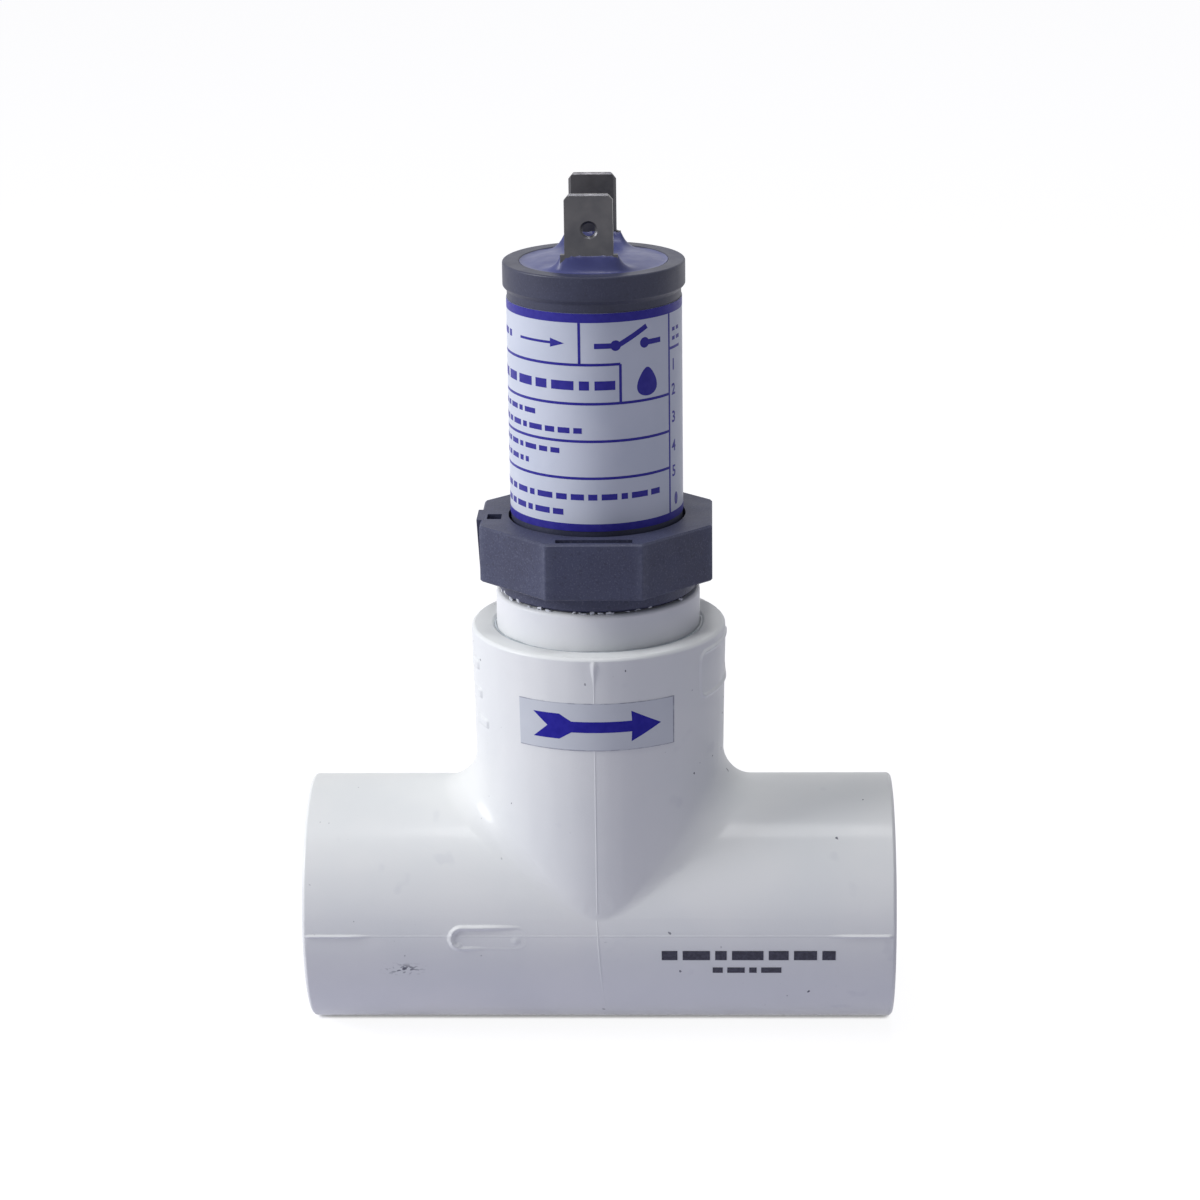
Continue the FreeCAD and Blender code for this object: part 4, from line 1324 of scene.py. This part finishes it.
@dataclass
class BushingJoint:
    """Reducer bushing, the cement round it and the tape that the thread squeezed out."""

    edge_round: float = 0.18
    crease: float = 30.0
    lump_crease: float = 60.0
    bead_radius: float = 13.66
    bead_width: float = 0.42
    bead_height: float = 0.5
    bead_shoulder: float = 0.4
    bead_lean: float = 0.06
    bead_corner: float = 0.05
    bead_edge: float = 0.1
    bead_still: float = 0.15
    lump_scale: float = 420.0
    grit_scale: float = 1100.0
    grit_share: float = 0.5
    lump_out: float = 0.07
    lump_up: float = 0.12
    shred_ring: float = 13.12
    shred_seed: int = 7
    shred_scale: float = 2600.0
    shred_shares: tuple[float, float, float] = (0.85, 0.26, 0.8)
    shred_shake: tuple[float, float, float] = (0.3, 0.08, 0.22)
    shreds: tuple[Shred, ...] = (
        Shred(-76, 1.0, 0.5, 0.3), Shred(-68, 0.8, 0.7, 0.5), Shred(-60, 1.1, 0.4, 0.2),
        Shred(-52, 0.7, 0.6, 0.4), Shred(-42, 0.5, 0.3, 0.1), Shred(-34, 0.9, 0.4, 0.2),
        Shred(-28, 1.1, 0.3, 0.1), Shred(-12, 0.6, 0.35, 0.15), Shred(-7, 1.3, 0.3, 0.1),
        Shred(-1.5, 0.7, 0.4, 0.15), Shred(3.5, 0.9, 0.3, 0.1), Shred(8.5, 1.5, 0.35, 0.15),
        Shred(19, 0.5, 0.3, 0.2), Shred(25, 1.2, 0.3, 0.25), Shred(33, 0.7, 0.3, 0.3),
        Shred(58, 0.9, 0.4, 0.2), Shred(96, 1.4, 0.3, 0.2), Shred(131, 0.9, 0.5, 0.3),
        Shred(158, 1.6, 0.3, 0.1), Shred(187, 0.8, 0.4, 0.2), Shred(214, 1.2, 0.4, 0.3),
        Shred(246, 0.9, 0.5, 0.2),
    )

    def build(self) -> None:
        """Makes the bushing, its bead and the shreds of tape."""
        Moulding(
            "bushing_moulded", "reducer_bushing", Finishes.BUSHING, "pvc_white",
            self.edge_round, round_steps=3, crease=self.crease,
        ).build()
        self.make_bead()
        self.make_shreds()
        dress("thread_tape", Finishes.TAPE)

    def make_bead(self) -> None:
        """Makes the uneven ring of cement in the branch's mouth."""
        inner = self.bead_radius
        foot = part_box("cement_bead")[0].z / MM
        bm = spun([
            (inner, foot, self.bead_corner),
            (inner + self.bead_width, foot + self.bead_shoulder, self.bead_edge),
            (inner + self.bead_lean, foot + self.bead_height, self.bead_corner),
        ])
        for vertex in bm.verts:
            grit = self.grit_share * noise.noise(vertex.co * self.grit_scale)
            lump = noise.noise(vertex.co * self.lump_scale) + grit
            away = Vector((vertex.co.x, vertex.co.y, 0.0)).normalized()
            if vertex.co.z > (foot + self.bead_still) * MM:
                vertex.co += (away * self.lump_out + Vector((0.0, 0.0, self.lump_up))) * lump * MM
        finished("cement_ring", bm, Finishes.CEMENT, self.lump_crease, "cement_bead")

    def make_shreds(self) -> None:
        """Makes small flat shreds of tape that hang out under the body's collar."""
        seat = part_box("reducer_bushing")[1].z / MM
        wide, thick, high = self.shred_shares
        noise.seed_set(self.shred_seed)
        bm = bmesh.new()
        for shred in self.shreds:
            verts = bmesh.ops.create_icosphere(bm, subdivisions=3, radius=0.5 * MM)["verts"]
            bmesh.ops.scale(bm, verts=verts, vec=(wide * shred.long, thick, high * shred.tall))
            for vertex in verts:
                shake = noise.noise_vector(vertex.co * self.shred_scale + Vector((shred.turn, 0.0, 0.0)))
                vertex.co += Vector([part * most for part, most in zip(shake, self.shred_shake)]) * MM
            hang = Matrix.Translation((0.0, -self.shred_ring * MM, (seat + shred.rise) * MM))
            turn = Matrix.Rotation(math.radians(shred.turn), 4, "Z")
            bmesh.ops.transform(bm, matrix=turn @ hang, verts=verts)
        finished("tape_shreds", bm, Finishes.TAPE, self.lump_crease)


# ---- switch -----------------------------------------------------------------------------------
@dataclass
class SwitchBody:
    """Grey wrench body, the flanged barrel in it and the gasket between them, which is dressed near-black
    as painted shade.
    """

    edge_round: float = 0.12
    crease: float = 26.0

    def build(self) -> None:
        """Makes the body and the barrel, and dresses the gasket near-black as painted shade."""
        for name, node, finish, steps in (
            ("wrench_body", "switch_body", Finishes.BODY, 2),
            ("flanged_barrel", "sensor_barrel", Finishes.BARREL, 3),
        ):
            Moulding(name, node, finish, "grey_plastic", self.edge_round, steps, self.crease).build()
        # painted shade: the near-black gasket stands for the shadowed gap round the barrel's foot
        dress("barrel_gasket", Finishes.RUBBER)


class WordRow(NamedTuple):
    """Row of blank word bars: where it starts and ends, its foot, its height and the gap in it."""

    left: float
    right: float
    foot: float
    tall: float
    gap: float


@dataclass
class LabelSleeve:
    """Printed film round the barrel: bands, rules, blank word bars, numbers and plain signs.

    Places are arcs from the front and heights from the film's foot.
    """

    top_band: float = 1.2
    foot_band: float = 1.0
    band_share: float = 0.97
    rule: float = 0.36
    rule_gap: float = 0.01
    left_rule: float = -28.2
    first_column: float = -1.63
    second_column: float = 3.7
    number_column: float = 11.77
    number_margin: float = 14.8
    number_rule: float = 23.03
    box_rule: float = 22.2
    long_rules: tuple[float, ...] = (17.05, 12.07, 7.13)
    rows: tuple[WordRow, ...] = (
        WordRow(-27.0, 3.0, 18.85, 1.2, 0.7),
        WordRow(-27.0, -8.2, 15.15, 0.7, 0.5),
        WordRow(-27.0, -0.8, 13.1, 0.75, 0.5),
        WordRow(-27.0, -4.5, 10.35, 0.7, 0.5),
        WordRow(-27.0, -9.6, 8.45, 0.7, 0.5),
        WordRow(-27.0, 10.3, 4.2, 0.8, 0.55),
        WordRow(-27.0, -3.4, 2.1, 0.8, 0.5),
        WordRow(-24.0, -13.4, 24.5, 0.9, 0.6),
        WordRow(12.6, 14.6, 25.2, 0.5, 0.4),
        WordRow(12.6, 14.8, 24.0, 0.5, 0.4),
    )
    arrow_tail: float = -10.9
    arrow_neck: float = -5.2
    arrow_line: Span = (24.78, 25.12)
    arrow_head: Outline = ((-5.6, 24.35), (-3.6, 24.95), (-5.6, 25.55))
    leads: tuple[Span, ...] = ((0.3, 3.0), (7.2, 9.9))
    lead_line: Span = (24.3, 25.0)
    open_blade: Outline = ((2.9, 24.75), (3.3, 24.2), (7.7, 26.5), (7.35, 27.1))
    contacts: tuple[float, ...] = (3.1, 7.2)
    contact_height: float = 24.65
    contact_radius: float = 0.7
    drop_arc: float = 7.6
    drop_height: float = 19.5
    drop_half_wide: float = 1.5
    drop_half_tall: float = 1.9
    drop_taper: float = 0.4
    drop_sides: int = 32
    numbers: tuple[float, ...] = (20.7, 17.4, 13.7, 9.8, 6.4)
    number_indent: float = 1.1
    number_tall: float = 1.5
    mark_indent: float = 1.7
    mark_height: float = 2.6
    mark_radius: float = 0.5
    mark_tall: float = 1.7
    tall: float = field(init=False)
    sheet: InkSheet = field(init=False)

    def build(self) -> None:
        """Dresses the film and prints it."""
        dress("label_sleeve", Finishes.LABEL)
        low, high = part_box("label_sleeve")
        self.tall = (high.z - low.z) / MM
        self.sheet = InkSheet(Drum(-low.y / MM), low.z / MM)
        self.draw_bands()
        self.draw_rules()
        for row in self.rows:
            self.sheet.words(row.left, row.right, row.foot, row.foot + row.tall, row.gap)
        self.draw_signs()
        self.draw_drop()
        self.draw_numbers()
        self.sheet.printed("label_print", Finishes.INK, "label_film")

    def draw_bands(self) -> None:
        """Draws the band at the top and the one at the foot."""
        reach = math.pi * self.sheet.wall.radius * self.band_share
        self.sheet.bar(-reach, reach, self.tall - self.top_band, self.tall)
        self.sheet.bar(-reach, reach, 0.0, self.foot_band)

    def upright(self, arc: float, bottom: float, top: float) -> None:
        """Draws an upright rule, a hair short of the bands that it stands between."""
        half = self.rule / 2.0
        self.sheet.bar(arc - half, arc + half, bottom + self.rule_gap, top - self.rule_gap)

    def level(self, left: float, right: float, height: float) -> None:
        """Draws a level rule."""
        self.sheet.bar(left, right, height - self.rule / 2.0, height + self.rule / 2.0)

    def draw_rules(self) -> None:
        """Draws the level and upright rules between the boxes."""
        top = self.tall - self.top_band
        self.level(self.left_rule, self.second_column, self.box_rule)
        for height in self.long_rules:
            self.level(self.left_rule, self.number_column, height)
        self.level(self.number_column, self.number_margin, self.number_rule)
        self.upright(self.first_column, self.box_rule, top)
        self.upright(self.second_column, self.long_rules[0], self.box_rule)
        self.upright(self.number_column, self.foot_band, top)
        self.upright(self.left_rule, self.foot_band, top)

    def draw_signs(self) -> None:
        """Draws a thin arrow and an open contact."""
        self.sheet.bar(self.arrow_tail, self.arrow_neck, *self.arrow_line)
        self.sheet.shape(self.arrow_head)
        for left, right in self.leads:
            self.sheet.bar(left, right, *self.lead_line)
        self.sheet.shape(self.open_blade)
        for arc in self.contacts:
            self.sheet.disc(arc, self.contact_height, self.contact_radius)

    def draw_drop(self) -> None:
        """Draws a drop of water, narrow at its top."""
        outline = []
        for index in range(self.drop_sides, 0, -1):
            turn = math.tau * index / self.drop_sides
            wide = self.drop_half_wide * math.sin(turn) * (1.0 - self.drop_taper * math.cos(turn))
            outline.append((self.drop_arc + wide, self.drop_height + self.drop_half_tall * math.cos(turn)))
        self.sheet.shape(outline)

    def draw_numbers(self) -> None:
        """Draws the column of plain numbers and the mark under it."""
        arc = self.number_column + self.number_indent
        for number, height in enumerate(self.numbers, start=1):
            self.sheet.digit(str(number), arc, height, self.number_tall)
        mark_arc = self.number_column + self.mark_indent
        self.sheet.disc(mark_arc, self.mark_height, self.mark_radius, self.mark_tall)


@dataclass
class PottedTop:
    """Cured resin in the barrel's mouth, drawn up round two spade tabs."""

    radius: float = 9.7
    depth: float = 14.0
    rim_sink: float = 0.3
    crown: float = 0.95
    rings: int = 40
    top_slack: float = 0.01
    rim_climb: float = 0.22
    rim_reach: float = 0.35
    tab_climb: float = 2.15
    tab_reach: float = 0.85
    tab_fade: float = 1.2
    tab_x: float = -0.3
    tab_y: float = 7.7
    tab_half_wide: float = 3.7
    tab_half_thick: float = 0.4
    wave: float = 0.05
    wave_scale: float = 0.4
    resin_crease: float = 50.0
    blade_half: float = 3.15
    blade_least: float = 3.0
    blade_slack: float = 0.02
    coined: float = 0.3
    tab_round: float = 0.05
    tab_crease: float = 22.0
    edge_height: float = field(init=False)

    def build(self) -> None:
        """Makes the resin and the tabs."""
        self.edge_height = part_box("sensor_barrel")[1].z / MM - self.rim_sink
        self.make_resin()
        for side in ("front", "rear"):
            self.make_tab(side)

    def is_coined(self, edge: bmesh.types.BMEdge) -> bool:
        """Finds a long upright edge of a blade above its shoulders.

        Args:
            edge: an edge of a tab.

        Returns:
            True where the blade is coined.
        """
        first, second = (vertex.co for vertex in edge.verts)
        along = abs(first.z - second.z) > self.blade_least * MM
        outside = abs(abs(first.x / MM - self.tab_x) - self.blade_half) < self.blade_slack
        return along and outside and min(first.z, second.z) > self.edge_height * MM

    def make_tab(self, side: str) -> None:
        """Coins the blade's long edges and softens the rest of the tab.

        Args:
            side: front or rear.
        """
        node = "terminal_" + side
        bm = merged_copy(node)
        bevelled(bm, [edge for edge in bm.edges if self.is_coined(edge)], self.coined, 1)
        ease_edges(bm, self.tab_round, 2, sharper_than=20.0)
        finished("spade_tab_" + side, bm, Finishes.TAB, self.tab_crease, node)

    def surface_height(self, x: float, y: float) -> float:
        """Height of the cured surface at a place.

        Args:
            x: the place across the tabs.
            y: the place from the front to the rear tab.

        Returns:
            The height.
        """
        out = math.hypot(x, y)
        height = self.crown * (1.0 - (out / self.radius) ** 2)
        height += self.rim_climb * math.exp((out - self.radius) / self.rim_reach)
        past_x = max(abs(x - self.tab_x) - self.tab_half_wide, 0.0)
        past_y = max(abs(abs(y) - self.tab_y) - self.tab_half_thick, 0.0)
        climb = self.tab_climb * math.exp(-math.hypot(past_x, past_y) / self.tab_reach)
        height += climb * ramp(self.radius - out, 0.0, self.tab_fade)
        return self.edge_height + height + self.wave * noise.noise(Vector((x, y, 0.0)) * self.wave_scale)

    def make_resin(self) -> None:
        """Spins the plug, then lifts its top into a crown with climbing edges."""
        foot = self.edge_height - self.depth
        top = [(self.radius * index / self.rings, self.edge_height) for index in range(self.rings + 1)]
        bm = spun([(0.0, foot), *top, (self.radius, foot)])
        for vertex in bm.verts:
            if vertex.co.z > (self.edge_height - self.top_slack) * MM:
                vertex.co.z = self.surface_height(vertex.co.x / MM, vertex.co.y / MM) * MM
        finished("resin_pour", bm, Finishes.RESIN, self.resin_crease, "potting_compound")


@dataclass
class ReedModule:
    """The sealed contact, its carrier and its wires."""

    def build(self) -> None:
        """Dresses the contact's nodes."""
        for node, finish in (
            ("reed_carrier", Finishes.BOARD),
            ("reed_glass", Finishes.GLASS),
            ("reed_blade_upper", Finishes.BLADE),
            ("reed_blade_lower", Finishes.BLADE),
            ("lead_wire_front", Finishes.RED_WIRE),
            ("lead_wire_rear", Finishes.BLACK_WIRE),
            ("solder_joints", Finishes.SOLDER),
        ):
            dress(node, finish)


@dataclass
class RockerUnit:
    """The paddle with its magnet, on its pin, with its spring."""

    edge_round: float = 0.15
    crease: float = 26.0
    spring_crease: float = 30.0

    def build(self) -> None:
        """Makes the rocker and the spring, and dresses the magnet, its cap and the pin."""
        Moulding(
            "paddle_moulded", "paddle", Finishes.ROCKER, "rocker_plastic",
            self.edge_round, round_steps=2, crease=self.crease, body=Body.ROCKER,
        ).build()
        dress("paddle_magnet", Finishes.FERRITE)
        dress("magnet_cap", Finishes.ROCKER)
        dress("pivot_pin", Finishes.STEEL)
        self.make_spring()

    def make_spring(self) -> None:
        """Copies the spring and leaves it on no body."""
        spring = finished(
            "wound_spring", merged_copy("return_spring"), Finishes.STEEL,
            self.spring_crease, node="return_spring", body=None,
        )
        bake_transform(spring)


# ---- studio -----------------------------------------------------------------------------------
@dataclass(frozen=True)
class Lamp:
    """One soft round lamp that looks at the object; its place and size are in metres."""

    name: str
    place: tuple[float, float, float]
    size: float
    watts: float

    def hang(self, target: Vector) -> None:
        """Hangs the lamp.

        Args:
            target: what it looks at, in metres.
        """
        light = bpy.data.lights.new(self.name, "AREA")
        light.shape = "DISK"
        light.size = self.size
        light.energy = self.watts
        lamp = linked(self.name, light)
        lamp.location = self.place
        lamp.rotation_euler = (Vector(self.place) - target).to_track_quat("Z", "Y").to_euler()


@dataclass
class Studio:
    """Pale floor, soft lamps, an even sky and the camera.

    Lengths are in metres, but for the camera's lens and sensor, in millimetres.
    """

    floor_width: float = 9.0
    floor_colour: Rgb = (0.62, 0.61, 0.73)
    floor_roughness: float = 0.9
    floor_shown: float = 0.74
    floor_glow: float = 1.26
    # painted contact shadow on the floor: how far it reaches, its rays, its span and how dark it gets
    contact_reach: float = 0.0009
    contact_rays: int = 8
    contact_open: Span = (0.3, 0.62)
    contact_dark: float = 0.25
    sky_strength: float = 0.2
    sky_colour: Rgb = (0.87, 0.88, 1.0)
    lamps: tuple[Lamp, ...] = (
        Lamp("key_lamp", (-0.62, -0.14, 0.34), 0.26, 3.7),
        Lamp("fill_lamp", (1.15, -0.75, 0.5), 0.9, 0.48),
        Lamp("top_lamp", (0.02, -0.14, 1.1), 0.3, 3.5),
    )
    azimuth_deg: float = 1.986
    elevation_deg: float = 17.267
    roll_deg: float = -0.784
    distance: float = 0.4564
    target: tuple[float, float, float] = (0.000237, 0.0, 0.059096)
    lens: float = 101.9
    sensor: float = 36.0
    clip: Span = (0.01, 50.0)

    def build(self) -> None:
        """Makes the floor, the sky, the lamps and the camera."""
        self.make_floor()
        self.make_sky()
        for lamp in self.lamps:
            lamp.hang(Vector(self.target))
        self.make_camera()
        bpy.context.scene.view_settings.view_transform = "Standard"

    def make_floor(self) -> None:
        """Makes the floor, which looks white, keeps the object's shadow and has a painted contact shadow
        close under it.
        """
        bm = bmesh.new()
        bmesh.ops.create_grid(bm, x_segments=1, y_segments=1, size=self.floor_width / 2.0)
        floor = linked("floor", as_mesh("floor", bm))
        shader = Shader("floor_white")
        shader.feed(shader.surface.inputs["Base Color"], (*self.floor_colour, 1.0))
        shader.feed(shader.surface.inputs["Roughness"], self.floor_roughness)
        shader.feed(shader.surface.inputs["Specular IOR Level"], 0.0)
        # painted contact shadow: ambient occlusion darkens the floor's white glow close under the object
        contact = shader.add("ShaderNodeAmbientOcclusion", samples=self.contact_rays)
        shader.feed(contact.inputs["Distance"], self.contact_reach)
        glow_under_painted_shadow = shader.span(contact.outputs["AO"], *self.contact_open, self.contact_dark, 1.0)
        glow = shader.add("ShaderNodeEmission")
        shader.feed(glow.inputs["Strength"], shader.calc("MULTIPLY", glow_under_painted_shadow, self.floor_glow))
        share = shader.calc("MULTIPLY", shader.shown(), self.floor_shown)
        shader.mixed(share, shader.surface.outputs[0], glow.outputs[0], shader.output.inputs["Surface"])
        floor.data.materials.append(shader.material)

    def make_sky(self) -> None:
        """Makes an even sky that lights softly, a little blue, and looks white."""
        world = bpy.data.worlds.new("sky")
        world.use_nodes = True
        bpy.context.scene.world = world
        nodes = Nodes(world.node_tree)
        light = nodes.tree.nodes["Background"]
        nodes.feed(light.inputs["Color"], (*self.sky_colour, 1.0))
        nodes.feed(light.inputs["Strength"], self.sky_strength)
        white = nodes.add("ShaderNodeBackground")
        nodes.feed(white.inputs["Color"], (1.0, 1.0, 1.0, 1.0))
        output = nodes.tree.nodes["World Output"].inputs["Surface"]
        nodes.mixed(nodes.shown(), light.outputs[0], white.outputs[0], output)

    def make_camera(self) -> None:
        """Sets the camera at its angle."""
        lens = bpy.data.cameras.new("camera")
        lens.lens = self.lens
        lens.sensor_width = self.sensor
        lens.clip_start, lens.clip_end = self.clip
        camera = linked("camera", lens)
        azimuth = math.radians(self.azimuth_deg)
        elevation = math.radians(self.elevation_deg)
        back = Vector((
            math.sin(azimuth) * math.cos(elevation),
            -math.cos(azimuth) * math.cos(elevation),
            math.sin(elevation),
        ))
        place = Vector(self.target) + back * self.distance
        level = back.to_track_quat("Z", "Y").to_matrix().to_4x4()
        roll = Matrix.Rotation(math.radians(self.roll_deg), 4, "Z")
        camera.matrix_world = Matrix.Translation(place) @ level @ roll
        bpy.context.scene.camera = camera


def main() -> None:
    """Builds every sub-assembly on the frame."""
    logging.basicConfig(level=logging.INFO, format="%(message)s")
    for thing in list(bpy.data.objects):
        bpy.data.objects.remove(thing)
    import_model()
    for assembly in (
        Studio, TeeFitting, BushingJoint, SwitchBody, LabelSleeve, PottedTop, ReedModule, RockerUnit
    ):
        LOG.info("building %s", assembly.__name__)
        assembly().build()


if __name__ == "__main__":
    main()
